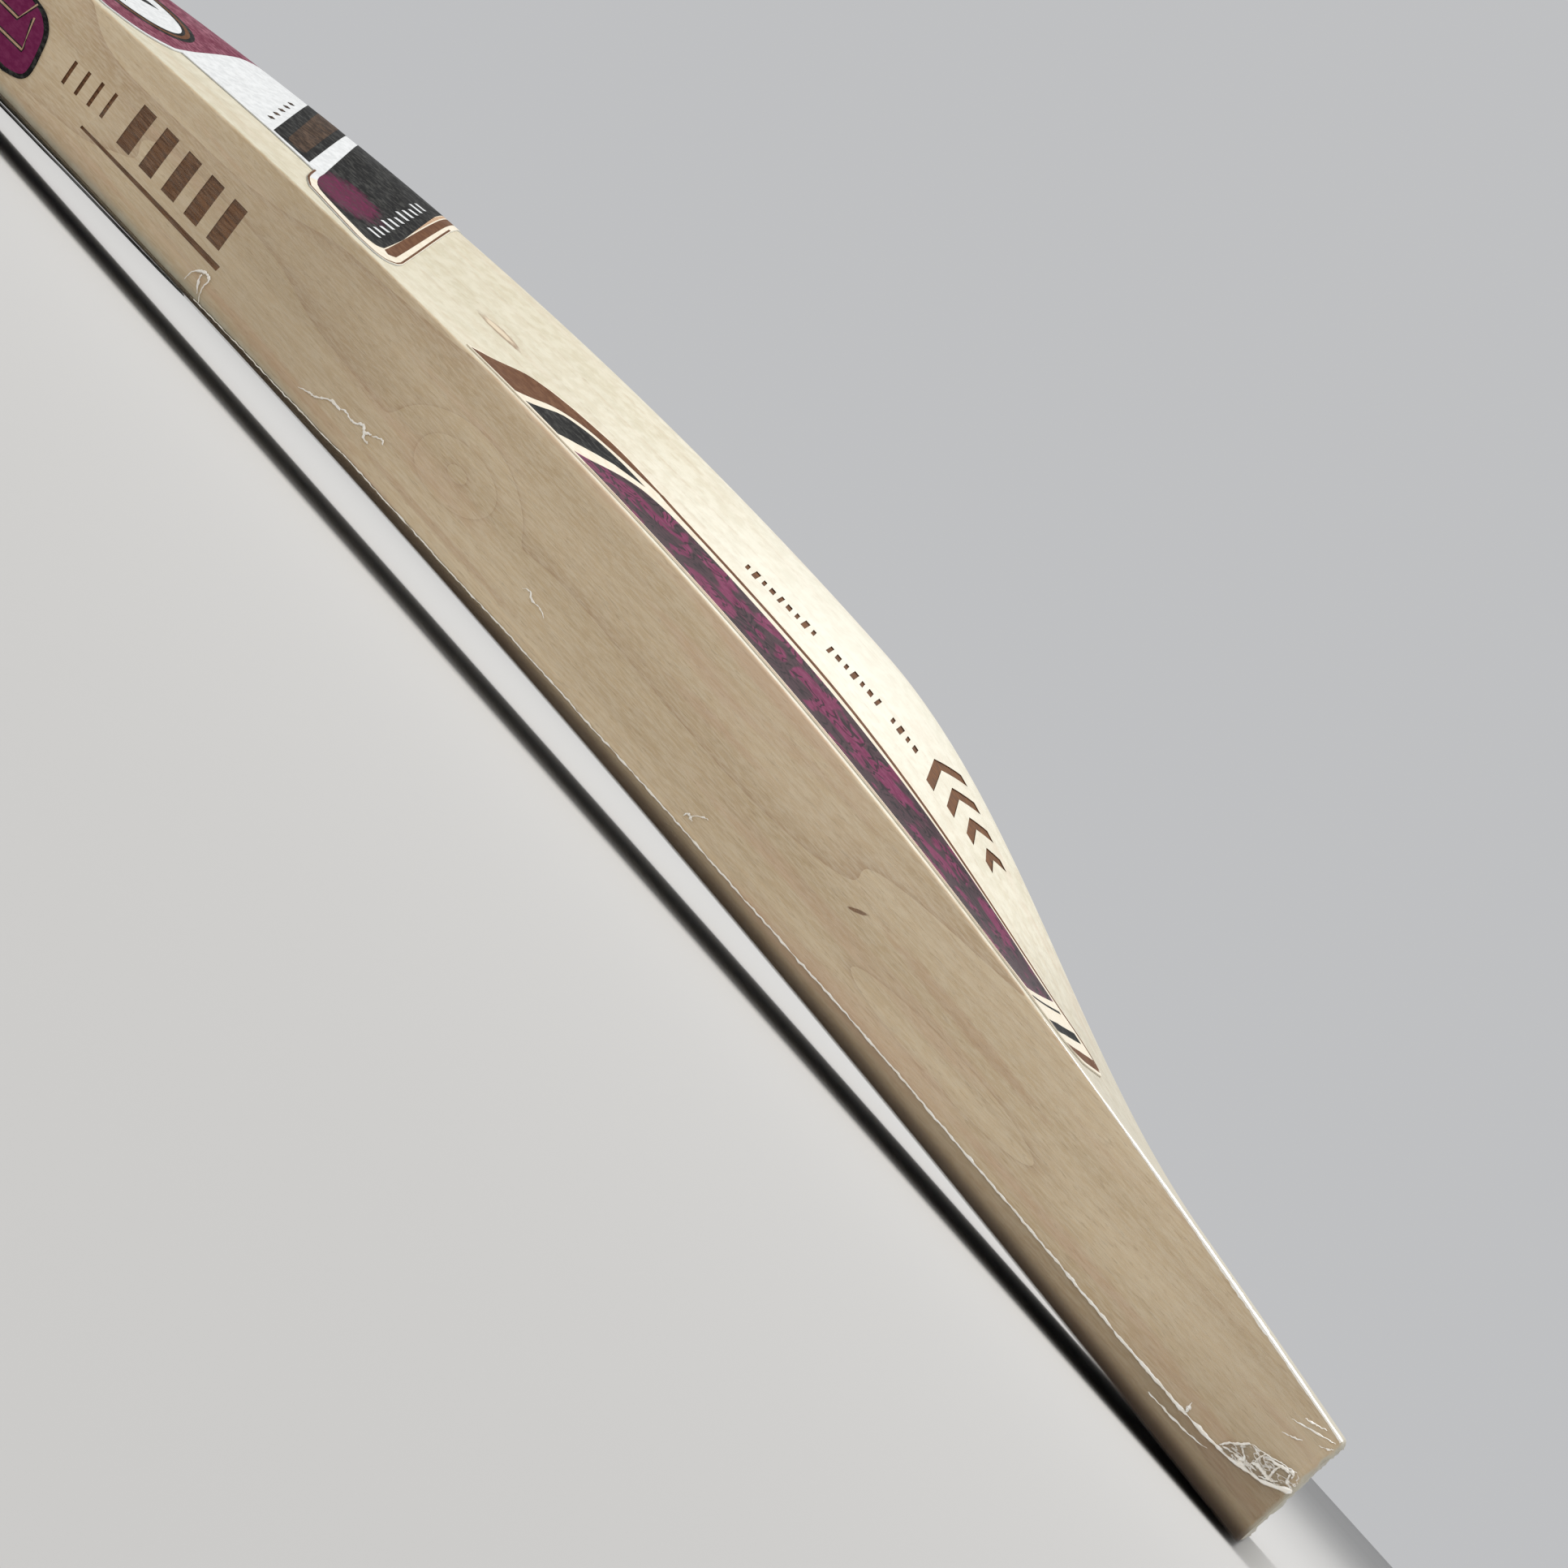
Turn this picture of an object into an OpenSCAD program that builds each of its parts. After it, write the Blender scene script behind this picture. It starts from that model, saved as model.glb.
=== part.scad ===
// Cricket bat, lying on its face. X runs along the bat with the toe at +X,
// Y across the blade, +Z up through the spine. The origin is the middle of
// the footprint, on the plane the toe and the grip rest on. Millimetres.
//
// Distances called "t" are measured from the toe towards the handle.

/* [Blade] */
// whole length of the bat, toe to the end of the grip
total_l = 850; // [830:5:880]
// length of the willow blade, toe to the top of the shoulders
blade_l = 560; // [540:5:570]
// width of the blade across both edges
blade_w = 107; // [100:0.5:108]
// edge thickness at the toe
toe_edge = 27.5; // [22:0.5:30]
// edge thickness at the swell, the thickest part of the edge
swell_edge = 39.5; // [34:0.5:41]
// edge thickness at the shoulders
shoulder_edge = 28; // [26:0.5:31]
// height of the spine above the edges at the swell
swell_ridge = 24; // [18:0.5:26]
// distance of the swell from the toe
swell_t = 215; // [195:5:250]
// how far the middle of the face stands off a straight line from end to end
bow = 8.5; // [3:0.5:10]
// how far the face bulges across its width
camber = 1; // [0.4:0.1:1.5]

/* [Handle] */
// radius of the cane under the binding
cane_r = 14.3; // [13.8:0.1:14.8]
// outside radius of the rubber grip
grip_r = 17.5; // [17:0.1:18]
// thickness of the twine binding
twine_thick = 0.8; // [0.6:0.1:1.2]
// thickness of each rubber spring strip
spring_thick = 1.6; // [1.2:0.1:2.2]
// length of the V joint between handle and blade
splice_l = 130; // [110:5:140]

/* [Sheets and labels] */
// thickness of the clear sheet on the face
sheet_thick = 0.4; // [0.3:0.05:0.6]
// thickness of the clear film on the edges
film_thick = 0.2; // [0.15:0.05:0.3]
// thickness of the printed labels
label_thick = 0.3; // [0.2:0.05:0.4]

/* [Hidden] */
$fn = 96;

// left is -Y and right is +Y; rows of cane count from the face to the back

willow = [0.86, 0.78, 0.62];
cane = [0.80, 0.68, 0.45];
rubber = [0.12, 0.12, 0.13];
maroon = [0.38, 0.12, 0.26];
clear = [0.75, 0.72, 0.62];

toe_x = total_l / 2;
glue = 0.05;            // gap that stands for the adhesive under a skin
half = blade_w / 2;

// ---- shape of the blade along its length ----

toe_round = 1.5;        // rounding all round the flat toe
toe_corner = 1.5;       // rounding of the toe seen from the face
shoulder_l = 58;        // length over which the shoulders narrow
shoulder_half = 18.5;   // half width where the blade meets the handle
shoulder_rise = 1.5;    // height of the face at the shoulders
toe_ridge = 1.2;        // height of the spine above the edges at the toe
root_ridge = 3;         // the same where the blade meets the handle
ridge_from = 50;        // the spine starts to climb this far from the toe
ridge_full = 190;       // and reaches its full height here
ridge_fall = 3;         // power of its fall to the handle: higher falls later
face_r = 5;             // rounding between face and edge
back_r = 1.2;           // rounding between edge and back
root_r = 11;            // the same roundings where the blade meets the handle
edge_bulge = 0.6;       // how far the edge swells sideways
ridge = 0.12;           // softness of the spine, as a share of the half width

function smooth(u) = u * u * (3 - 2 * u);
function between(a, b, u) = a + (b - a) * u;

// 0 at the start of the shoulders, 1 at the handle
function to_root(t) = max(0, (t - blade_l + shoulder_l) / shoulder_l);

function face_z(t) =
    let (u = t / blade_l)
    sheet_thick + glue + 4 * bow * u * (1 - u) + shoulder_rise * u;

function edge_depth(t) =
    t < swell_t
        ? between(toe_edge, swell_edge, sin(90 * t / swell_t))
        : between(swell_edge, shoulder_edge, smooth((t - swell_t) / (blade_l - swell_t)));

function ridge_height(t) =
    t < ridge_full
        ? between(toe_ridge, swell_ridge, smooth(max(0, t - ridge_from) / (ridge_full - ridge_from)))
        : between(swell_ridge, root_ridge, pow((t - ridge_full) / (blade_l - ridge_full), ridge_fall));

// how far a quarter circle of radius r still cuts back at distance t
function cut_back(t, r) = t < r ? r - sqrt(r * r - (r - t) * (r - t)) : 0;

function half_width(t) =
    between(half - cut_back(t, toe_corner), shoulder_half, smooth(to_root(t)));

// One point of the section at t, as [y, z]. The walk w goes round half the
// section: 0 to 1 face, 1 to 2 face corner, 2 to 3 edge, 3 to 4 back corner,
// 4 to 5 back slope up to the spine. Beyond 5 it goes down the other side,
// and negative values are the side at -Y.
function section_point(t, w) =
    w > 5 ? section_point(t, w - 10) :
    let (
        side = w < 0 ? -1 : 1,
        g = abs(w),
        y_edge = half_width(t),
        in = cut_back(t, toe_round),
        rf = between(face_r, root_r, to_root(t)),
        rb = between(back_r, root_r, to_root(t)),
        low = face_z(t) + in,
        high = face_z(t) + edge_depth(t) - in,
        top = high + ridge_height(t),
        flat_y = y_edge - rf,
        arc_z = low + camber * pow(flat_y / y_edge, 2) + rf,
        wall = high - rb - arc_z
    )
    g <= 1 ? [side * g * flat_y, low + camber * pow(g * flat_y / y_edge, 2)] :
    g <= 2 ? [side * (flat_y + rf * sin(90 * (g - 1))), arc_z - rf * cos(90 * (g - 1))] :
    g <= 3 ? [side * (y_edge + edge_bulge * sin(180 * (g - 2)) * min(1, t / toe_corner)),
              arc_z + wall * (g - 2)] :
    g <= 4 ? [side * (y_edge - rb + rb * cos(90 * (g - 3))), high - rb + rb * sin(90 * (g - 3))] :
             [side * (5 - g) * (y_edge - rb), high + (top - high) * slope_rise(5 - g)];

// share of the spine height reached at the share q of the half width
function slope_rise(q) =
    let (soft = (sqrt(q * q + ridge * ridge) - ridge) / (sqrt(1 + ridge * ridge) - ridge))
    0.45 * (1 - soft) + 0.55 * (1 + cos(180 * q)) / 2;

// outward direction of the section at that point
function section_normal(t, w) =
    let (
        step = section_point(t, w + 0.01) - section_point(t, w - 0.01),
        out = [step[1], -step[0]]
    )
    out / norm(out);

// ---- solids that follow the blade ----

// distances from the toe at which the blade is cut into sections
toe_steps = [for (a = [0:18:90]) toe_corner * (1 - cos(a))];
step_l = 15;
body_steps = [for (t = [20:step_l:blade_l - shoulder_l - 8]) t];
shoulder_steps = [for (k = [0:10]) blade_l - shoulder_l * (1 - k / 10)];
steps = concat(toe_steps, body_steps, shoulder_steps);

// walk values of half a section, from beside the spine to beside the face centre
half_walk = [4.97, 4.91, 4.83, 4.72, 4.6, 4.46, 4.3, 4.14, 4.05, 4, 3.67, 3.33, 3,
             2.67, 2.33, 2, 1.67, 1.33, 1, 0.6, 0.2];
full_walk = concat(half_walk, [for (k = [len(half_walk) - 1:-1:0]) -half_walk[k]]);

function steps_between(from, to) = [for (t = steps) if (t > from - 0.1 && t < to + 0.1) t];

// Closed solid through sections, each a list of [x, y, z] points. Point j and
// point count-1-j face each other, so the end caps are ladders between them.
module loft(sections) {
    count = len(sections[0]);
    last = (len(sections) - 1) * count;
    points = [for (s = sections) for (p = s) p];
    sides = [
        for (i = [0:len(sections) - 2]) for (j = [0:count - 1])
            let (a = i * count + j, b = i * count + (j + 1) % count)
            each [[a, a + count, b], [b, a + count, b + count]]
    ];
    caps = [
        for (j = [0:count / 2 - 2])
            let (a = j, b = j + 1, c = count - 2 - j, d = count - 1 - j)
            each [
                [a, b, d], [b, c, d],
                [last + a, last + d, last + b], [last + b, last + d, last + c]
            ]
    ];
    polyhedron(points = points, faces = concat(sides, caps), convexity = 6);
}

// the blade as it would be without the V slot
module blade_solid(from = 0, to = blade_l) {
    loft([
        for (t = steps_between(from, to))
            [for (w = full_walk) let (p = section_point(t, w)) [toe_x - t, p[0], p[1]]]
    ]);
}

// Thin skin lying on the blade, from one walk value to the other.
module skin(from, to, walks, thick, lift = glue) {
    count = len(walks);
    loft([
        for (t = steps_between(from, to))
            [
                for (k = [0:2 * count - 1])
                    let (
                        w = walks[k < count ? k : 2 * count - 1 - k],
                        off = k < count ? lift : lift + thick,
                        p = section_point(t, w) + off * section_normal(t, w)
                    )
                    [toe_x - t, p[0], p[1]]
            ]
    ]);
}

// the same walk values in rising order, run on down the far side of the spine
rising_walk = concat(
    [for (w = half_walk) -w],
    [for (k = [len(half_walk) - 1:-1:0]) half_walk[k]],
    [for (w = half_walk) 10 - w]
);

function walk_range(from, to) = [for (w = rising_walk) if (w >= from && w <= to) w];

// ---- V joint ----

splice_tip = 2;         // half width of the blunt tip of the V
splice_half = 15.5;     // half width of the V at the shoulders
deep = 90;              // taller than the blade anywhere

// the V seen from the face, run out past the blade by "extra"
module splice_prism(extra = 0) {
    grow = (splice_half - splice_tip) / splice_l;
    wide = splice_half + grow * extra;
    translate([0, 0, -deep / 4])
        linear_extrude(height = deep)
            polygon([
                [toe_x - blade_l + splice_l, -splice_tip],
                [toe_x - blade_l + splice_l, splice_tip],
                [toe_x - blade_l - extra, wide],
                [toe_x - blade_l - extra, -wide]
            ]);
}

// ---- handle ----

lip_thick = 1.6;        // rubber lip over the end of the handle
cane_l = total_l - blade_l - lip_thick;
flare_l = 40;           // length over which the handle widens to the V joint
flare_r = 15.5;

// puts a profile of [radius, distance above the shoulders] round the handle axis
module turned(outline) {
    translate([toe_x - blade_l, 0, grip_r])
        rotate([0, -90, 0])
            rotate_extrude()
                polygon(outline);
}

module handle_shaft() {
    turned([[0, 0], [flare_r, 0], [cane_r, flare_l], [cane_r, cane_l], [0, cane_l]]);
}

// outer = true trims the V flush with the face and the back of the blade
module handle_wedge(outer) {
    intersection() {
        splice_prism();
        if (outer)
            blade_solid(from = blade_l - splice_l - step_l);
    }
}

column_y = 5.2;         // joints between the three columns of cane
row_z = 8;              // distance of the outer spring strips from the handle axis
row_floor = [-deep, -row_z + spring_thick / 2, spring_thick / 2, row_z + spring_thick / 2];
row_ceiling = [-row_z - spring_thick / 2, -spring_thick / 2, row_z - spring_thick / 2, deep];

// What lies between two heights from the handle axis and between two y. The
// inner rows never reach the surface of the blade, so they need no trimming.
module cell(y_from, y_to, z_from, z_to, outer) {
    intersection() {
        translate([-total_l, y_from, grip_r + z_from])
            cube([2 * total_l, y_to - y_from, z_to - z_from]);
        union() {
            handle_shaft();
            handle_wedge(outer);
        }
    }
}

// rows 0 to 3 from the face to the back, columns -1, 0, 1 from left to right
module cane_stick(row, column) {
    y_from = column < 0 ? -deep : (column - 0.5) * 2 * column_y;
    y_to = column > 0 ? deep : (column + 0.5) * 2 * column_y;
    color(cane)
        cell(y_from, y_to, row_floor[row], row_ceiling[row], row == 0 || row == 3);
}

module spring_strip(place) {
    color(rubber)
        cell(-deep, deep, place * row_z - spring_thick / 2, place * row_z + spring_thick / 2, false);
}

binding_from = 6;       // twine starts this far above the shoulders
collar_from = 12;
grip_from = 24;

function cane_radius(h) = between(flare_r, cane_r, min(1, h / flare_l));

module twine_binding() {
    color([0.82, 0.78, 0.68])
        turned([
            [cane_radius(binding_from), binding_from],
            [cane_radius(binding_from) + twine_thick, binding_from],
            [cane_r + twine_thick, flare_l],
            [cane_r + twine_thick, cane_l],
            [cane_r, cane_l],
            [cane_r, flare_l]
        ]);
}

collar_thick = 0.5;

module collar_tape() {
    color(rubber)
        turned([
            [cane_radius(collar_from) + twine_thick, collar_from],
            [cane_radius(collar_from) + twine_thick + collar_thick, collar_from],
            [cane_radius(grip_from) + twine_thick + collar_thick, grip_from],
            [cane_radius(grip_from) + twine_thick, grip_from]
        ]);
}

lip_hole_r = 9;         // the end of the cane shows through this hole
rib_count = 8;
rib_step = 9;
rib_depth = 0.6;

module rubber_grip() {
    color(rubber)
        difference() {
            turned([
                [cane_radius(grip_from) + twine_thick, grip_from],
                [grip_r - 1, grip_from],
                [grip_r, grip_from + 2],
                [grip_r, cane_l + lip_thick - 1],
                [grip_r - 1, cane_l + lip_thick],
                [lip_hole_r, cane_l + lip_thick],
                [lip_hole_r, cane_l],
                [cane_r + twine_thick, cane_l],
                [cane_r + twine_thick, flare_l]
            ]);
            for (k = [1:rib_count])
                turned([
                    [grip_r - rib_depth, grip_from + k * rib_step],
                    [grip_r + 1, grip_from + k * rib_step - 2],
                    [grip_r + 1, grip_from + k * rib_step + 2]
                ]);
        }
}

// ---- blade, sheets and labels ----

module blade() {
    color(willow)
        difference() {
            blade_solid();
            splice_prism(extra = 5);
        }
}

sheet_wrap = 2;         // walk value that the face sheet reaches on each edge
film_top = 400;         // the edge films stop here
label_top = blade_l - shoulder_l;   // labels and sheet stop where the shoulders start
upper_label_from = 320;
lower_label_from = 80;
lower_label_to = 290;
edge_label_from = 425;
face_label_from = 395;

module face_sheet() {
    color(clear)
        skin(toe_corner, label_top, walk_range(-sheet_wrap, sheet_wrap), sheet_thick);
}

module edge_film_right() {
    color(clear)
        skin(toe_corner, film_top, [2.2, 2.33, 2.67, 3], film_thick);
}

module edge_film_left() {
    mirror([0, 1, 0])
        edge_film_right();
}

module back_label_upper() {
    color(maroon)
        skin(upper_label_from, label_top, walk_range(4.04, 5.96), label_thick);
}

module back_label_lower_right() {
    color(maroon)
        skin(lower_label_from, lower_label_to, walk_range(4, 4.5), label_thick);
}

module back_label_lower_left() {
    mirror([0, 1, 0])
        back_label_lower_right();
}

module edge_label_right() {
    color(maroon)
        skin(edge_label_from, label_top, [sheet_wrap + 0.05, 2.33, 2.67], label_thick);
}

module edge_label_left() {
    mirror([0, 1, 0])
        edge_label_right();
}

// the face label lies on the clear sheet
module face_label() {
    color(maroon)
        skin(face_label_from, label_top, walk_range(-0.6, 0.6), label_thick, lift = 2 * glue + sheet_thick);
}

blade();
cane_stick(0, -1);  // cane_row1_left
cane_stick(0, 0);  // cane_row1_middle
cane_stick(0, 1);  // cane_row1_right
cane_stick(1, -1);  // cane_row2_left
cane_stick(1, 0);  // cane_row2_middle
cane_stick(1, 1);  // cane_row2_right
cane_stick(2, -1);  // cane_row3_left
cane_stick(2, 0);  // cane_row3_middle
cane_stick(2, 1);  // cane_row3_right
cane_stick(3, -1);  // cane_row4_left
cane_stick(3, 0);  // cane_row4_middle
cane_stick(3, 1);  // cane_row4_right
spring_strip(-1);  // spring_strip_face
spring_strip(0);  // spring_strip_centre
spring_strip(1);  // spring_strip_back
twine_binding();
rubber_grip();
collar_tape();
face_sheet();
edge_film_left();
edge_film_right();
back_label_upper();
back_label_lower_left();
back_label_lower_right();
edge_label_left();
edge_label_right();
face_label();
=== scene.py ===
"""Cricket bat lying on its face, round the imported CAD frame.

X runs along the bat with the toe at +X, Y across the blade, +Z up through
the spine. Shapes are worked out in millimetres, with "t" measured from the
toe towards the handle, and turned into metres by place().
"""
import math

import bmesh
import bpy
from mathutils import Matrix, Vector, noise

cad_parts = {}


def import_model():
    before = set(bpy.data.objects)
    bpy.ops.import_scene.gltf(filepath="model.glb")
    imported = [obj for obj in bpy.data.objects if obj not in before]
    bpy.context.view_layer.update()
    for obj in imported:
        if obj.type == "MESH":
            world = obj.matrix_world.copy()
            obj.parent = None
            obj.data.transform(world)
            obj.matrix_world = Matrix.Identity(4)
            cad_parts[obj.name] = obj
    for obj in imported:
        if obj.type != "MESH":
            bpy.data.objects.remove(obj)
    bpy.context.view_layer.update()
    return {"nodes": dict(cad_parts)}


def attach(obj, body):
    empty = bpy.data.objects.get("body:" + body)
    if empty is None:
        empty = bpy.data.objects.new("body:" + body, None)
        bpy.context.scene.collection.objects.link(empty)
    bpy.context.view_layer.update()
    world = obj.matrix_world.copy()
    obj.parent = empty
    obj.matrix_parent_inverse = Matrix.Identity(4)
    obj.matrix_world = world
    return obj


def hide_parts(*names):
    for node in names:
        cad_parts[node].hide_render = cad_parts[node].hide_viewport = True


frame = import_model()

# ---------------------------------------------------------------- sizes, mm

TOTAL_L = 850.0
BLADE_L = 560.0
HALF_W = 53.5
TOE_X = TOTAL_L / 2
SHEET = 0.4
FILM = 0.15
LABEL = 0.3
INK = 0.03
GLUE = 0.05

TOE_EDGE = 27.5
SWELL_EDGE = 39.5
SHOULDER_EDGE = 28.0
SWELL_T = 215.0
BOW = 8.5
SHOULDER_RISE = 1.5
TOE_RIDGE = 1.2
SWELL_RIDGE = 24.0
ROOT_RIDGE = 3.0
RIDGE_FROM = 50.0
RIDGE_FULL = 190.0

TOE_ROUND = 1.5
TOE_CORNER = 1.5
SHOULDER_L = 58.0
SHOULDER_HALF = 18.5
FACE_R = 5.0
BACK_R = 1.2
ROOT_R = 11.0
EDGE_BULGE = 0.6
RIDGE_SOFT = 0.12

GRIP_R = 17.5
CANE_R = 14.3
FLARE_R = 15.5
FLARE_L = 40.0
TWINE = 0.8
LIP = 1.6
LIP_HOLE_R = 9.0
CANE_L = TOTAL_L - BLADE_L - LIP
SPLICE_L = 130.0
SPLICE_TIP = 2.0
SPLICE_HALF = 15.5

LABEL_TOP = BLADE_L - SHOULDER_L


# ------------------------------------------------------- shape of the blade

def smooth(u):
    return u * u * (3 - 2 * u)


def clamp(x, low=0.0, high=1.0):
    return max(low, min(high, x))


def between(a, b, u):
    return a + (b - a) * u


def to_root(t):
    """0 where the shoulders start, 1 at the handle."""
    return clamp((t - BLADE_L + SHOULDER_L) / SHOULDER_L)


def face_z(t):
    u = t / BLADE_L
    return SHEET + GLUE + 4 * BOW * u * (1 - u) + SHOULDER_RISE * u


def edge_depth(t):
    if t < SWELL_T:
        return between(TOE_EDGE, SWELL_EDGE, math.sin(math.pi / 2 * t / SWELL_T))
    return between(SWELL_EDGE, SHOULDER_EDGE, smooth((t - SWELL_T) / (BLADE_L - SWELL_T)))


def ridge_height(t):
    if t < RIDGE_FULL:
        return between(TOE_RIDGE, SWELL_RIDGE, smooth(clamp((t - RIDGE_FROM) / (RIDGE_FULL - RIDGE_FROM))))
    return between(SWELL_RIDGE, ROOT_RIDGE, ((t - RIDGE_FULL) / (BLADE_L - RIDGE_FULL)) ** 3)


def cut_back(t, r):
    """How far a quarter circle of radius r still cuts back at distance t."""
    return r - math.sqrt(r * r - (r - t) ** 2) if t < r else 0.0


def half_width(t):
    return between(HALF_W - cut_back(t, TOE_CORNER), SHOULDER_HALF, smooth(to_root(t)))


def slope_rise(q):
    """Share of the spine height reached at the share q of the half width."""
    soft = (math.hypot(q, RIDGE_SOFT) - RIDGE_SOFT) / (math.hypot(1, RIDGE_SOFT) - RIDGE_SOFT)
    return 0.45 * (1 - soft) + 0.55 * (1 + math.cos(math.pi * q)) / 2


def section(t, w):
    """A point (y, z) of the section at t. The walk w goes 0 to 1 along the face,
    to 2 round the face corner, to 3 up the edge, to 4 round the back corner and
    to 5 up to the spine. Negative values are the side at -Y."""
    side = -1 if w < 0 else 1
    g = abs(w)
    y_edge = half_width(t)
    inset = cut_back(t, TOE_ROUND)
    rf = between(FACE_R, ROOT_R, to_root(t))
    rb = between(BACK_R, ROOT_R, to_root(t))
    low = face_z(t) + inset
    high = face_z(t) + edge_depth(t) - inset
    flat_y = y_edge - rf
    arc_z = low + (flat_y / y_edge) ** 2 + rf
    if g <= 1:
        return side * g * flat_y, low + (g * flat_y / y_edge) ** 2
    if g <= 2:
        a = math.pi / 2 * (g - 1)
        return side * (flat_y + rf * math.sin(a)), arc_z - rf * math.cos(a)
    if g <= 3:
        bulge = EDGE_BULGE * math.sin(math.pi * (g - 2)) * min(1, t / TOE_CORNER)
        return side * (y_edge + bulge), arc_z + (high - rb - arc_z) * (g - 2)
    if g <= 4:
        a = math.pi / 2 * (g - 3)
        return side * (y_edge - rb + rb * math.cos(a)), high - rb + rb * math.sin(a)
    return side * (5 - g) * (y_edge - rb), high + ridge_height(t) * slope_rise(5 - g)


def walk_at_height(t, h):
    """Walk value on the face corner or the edge, h above the face."""
    rf = between(FACE_R, ROOT_R, to_root(t))
    if h < rf:
        return 1 + math.acos(clamp(1 - h / rf)) / (math.pi / 2)
    wall = edge_depth(t) - between(BACK_R, ROOT_R, to_root(t)) - rf
    return 2 + (h - rf) / wall


def walk_at_y(t, y):
    """Walk value on the back slope at that y."""
    rb = between(BACK_R, ROOT_R, to_root(t))
    share = abs(y) / (half_width(t) - rb)
    return math.copysign(5 - share, y)


def skin_point(t, w, lift):
    """A point lift above the blade's surface, in millimetres."""
    if abs(w) > 5:
        w = math.copysign(10 - abs(w), -w)
    step = 0.01
    (y0, z0), (y1, z1) = section(t, w - step), section(t, w + step)
    side = math.hypot(y1 - y0, z1 - z0)
    y, z = section(t, w)
    return Vector((TOE_X - t, y + lift * (z1 - z0) / side, z - lift * (y1 - y0) / side))


def edge_place(t, h, side=-1, lift=0.0):
    """A point over an edge, h above the face."""
    return skin_point(t, side * walk_at_height(t, h), lift)


def back_place(t, y, lift=0.0):
    """A point over the back, y from the spine."""
    return skin_point(t, walk_at_y(t, y), lift)


def level(points, x):
    """Height of a broken line through points of (x, height), its x rising."""
    for (x0, h0), (x1, h1) in zip(points, points[1:]):
        if x <= x1:
            return between(h0, h1, clamp((x - x0) / (x1 - x0)))
    return points[-1][1]


def place(p):
    """Millimetres to metres."""
    return Vector(p) * 0.001


def steps(start, stop, size):
    count = max(1, round((stop - start) / size))
    return [start + (stop - start) * k / count for k in range(count + 1)]


def wobble(x, seed, scale):
    """Smooth noise from -1 to 1 along a line, the same in every run."""
    return noise.noise(Vector((x / scale, seed * 7.3, seed * 1.9)))


# ------------------------------------------------------------ mesh helpers

def new_object(name, points, faces, materials, slots=None, sharp=40):
    mesh = bpy.data.meshes.new(name)
    mesh.from_pydata([place(p) for p in points], [], faces)
    for material in materials:
        mesh.materials.append(material)
    if slots:
        mesh.polygons.foreach_set("material_index", slots)
    finish_mesh(mesh, sharp)
    obj = bpy.data.objects.new(name, mesh)
    bpy.context.scene.collection.objects.link(obj)
    return obj


def finish_mesh(mesh, sharp):
    """Faces turned outwards, smooth but for edges sharper than the angle."""
    bm = bmesh.new()
    bm.from_mesh(mesh)
    bmesh.ops.recalc_face_normals(bm, faces=bm.faces)
    bm.to_mesh(mesh)
    bm.free()
    mesh.shade_smooth()
    mesh.set_sharp_from_angle(angle=math.radians(sharp))
    mesh.update()


def loft_faces(rows, count, closed_rows=False):
    """Faces through rows of count points. A cap is a ladder between point j and
    the point that faces it, count - 1 - j."""
    faces = []
    for i in range(rows if closed_rows else rows - 1):
        a, b = i * count, (i + 1) % rows * count
        faces += [(a + j, a + (j + 1) % count, b + (j + 1) % count, b + j) for j in range(count)]
    if not closed_rows:
        for base in (0, (rows - 1) * count):
            for j in range(count // 2 - 1):
                faces.append((base + j, base + j + 1, base + count - 2 - j, base + count - 1 - j))
    return faces


def keep(obj, slot, *nodes):
    """Every new piece rides on the bat and hides the CAD parts it stands for; slot, the name of its finish,
    is not used.
    """
    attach(obj, "root")
    if nodes:
        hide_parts(*nodes)
    return obj


def shell(name, ts, walks, lift, material):
    """Thin closed skin on the blade. walks(t) gives the walk values of a row and
    lift(t, j, n) the height of its under and upper side at column j of n."""
    points = []
    count = 0
    for t in ts:
        row = walks(t)
        count = len(row)
        under = [skin_point(t, w, lift(t, j, count)[0]) for j, w in enumerate(row)]
        upper = [skin_point(t, w, lift(t, j, count)[1]) for j, w in enumerate(row)]
        points += under + upper[::-1]
    return new_object(name, points, loft_faces(len(ts), 2 * count), [material])


def curve_through(points, parts=6):
    """Smooth open chain through the points, ends included."""
    out = []
    n = len(points)
    for i in range(n - 1):
        p0, p1 = points[max(i - 1, 0)], points[i]
        p2, p3 = points[i + 1], points[min(i + 2, n - 1)]
        for k in range(parts):
            u = k / parts
            out.append(tuple(
                0.5 * (2 * b + (c - a) * u + (2 * a - 5 * b + 4 * c - d) * u * u
                       + (3 * b - a - 3 * c + d) * u ** 3)
                for a, b, c, d in zip(p0, p1, p2, p3)
            ))
    out.append(tuple(points[-1]))
    return out


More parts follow.
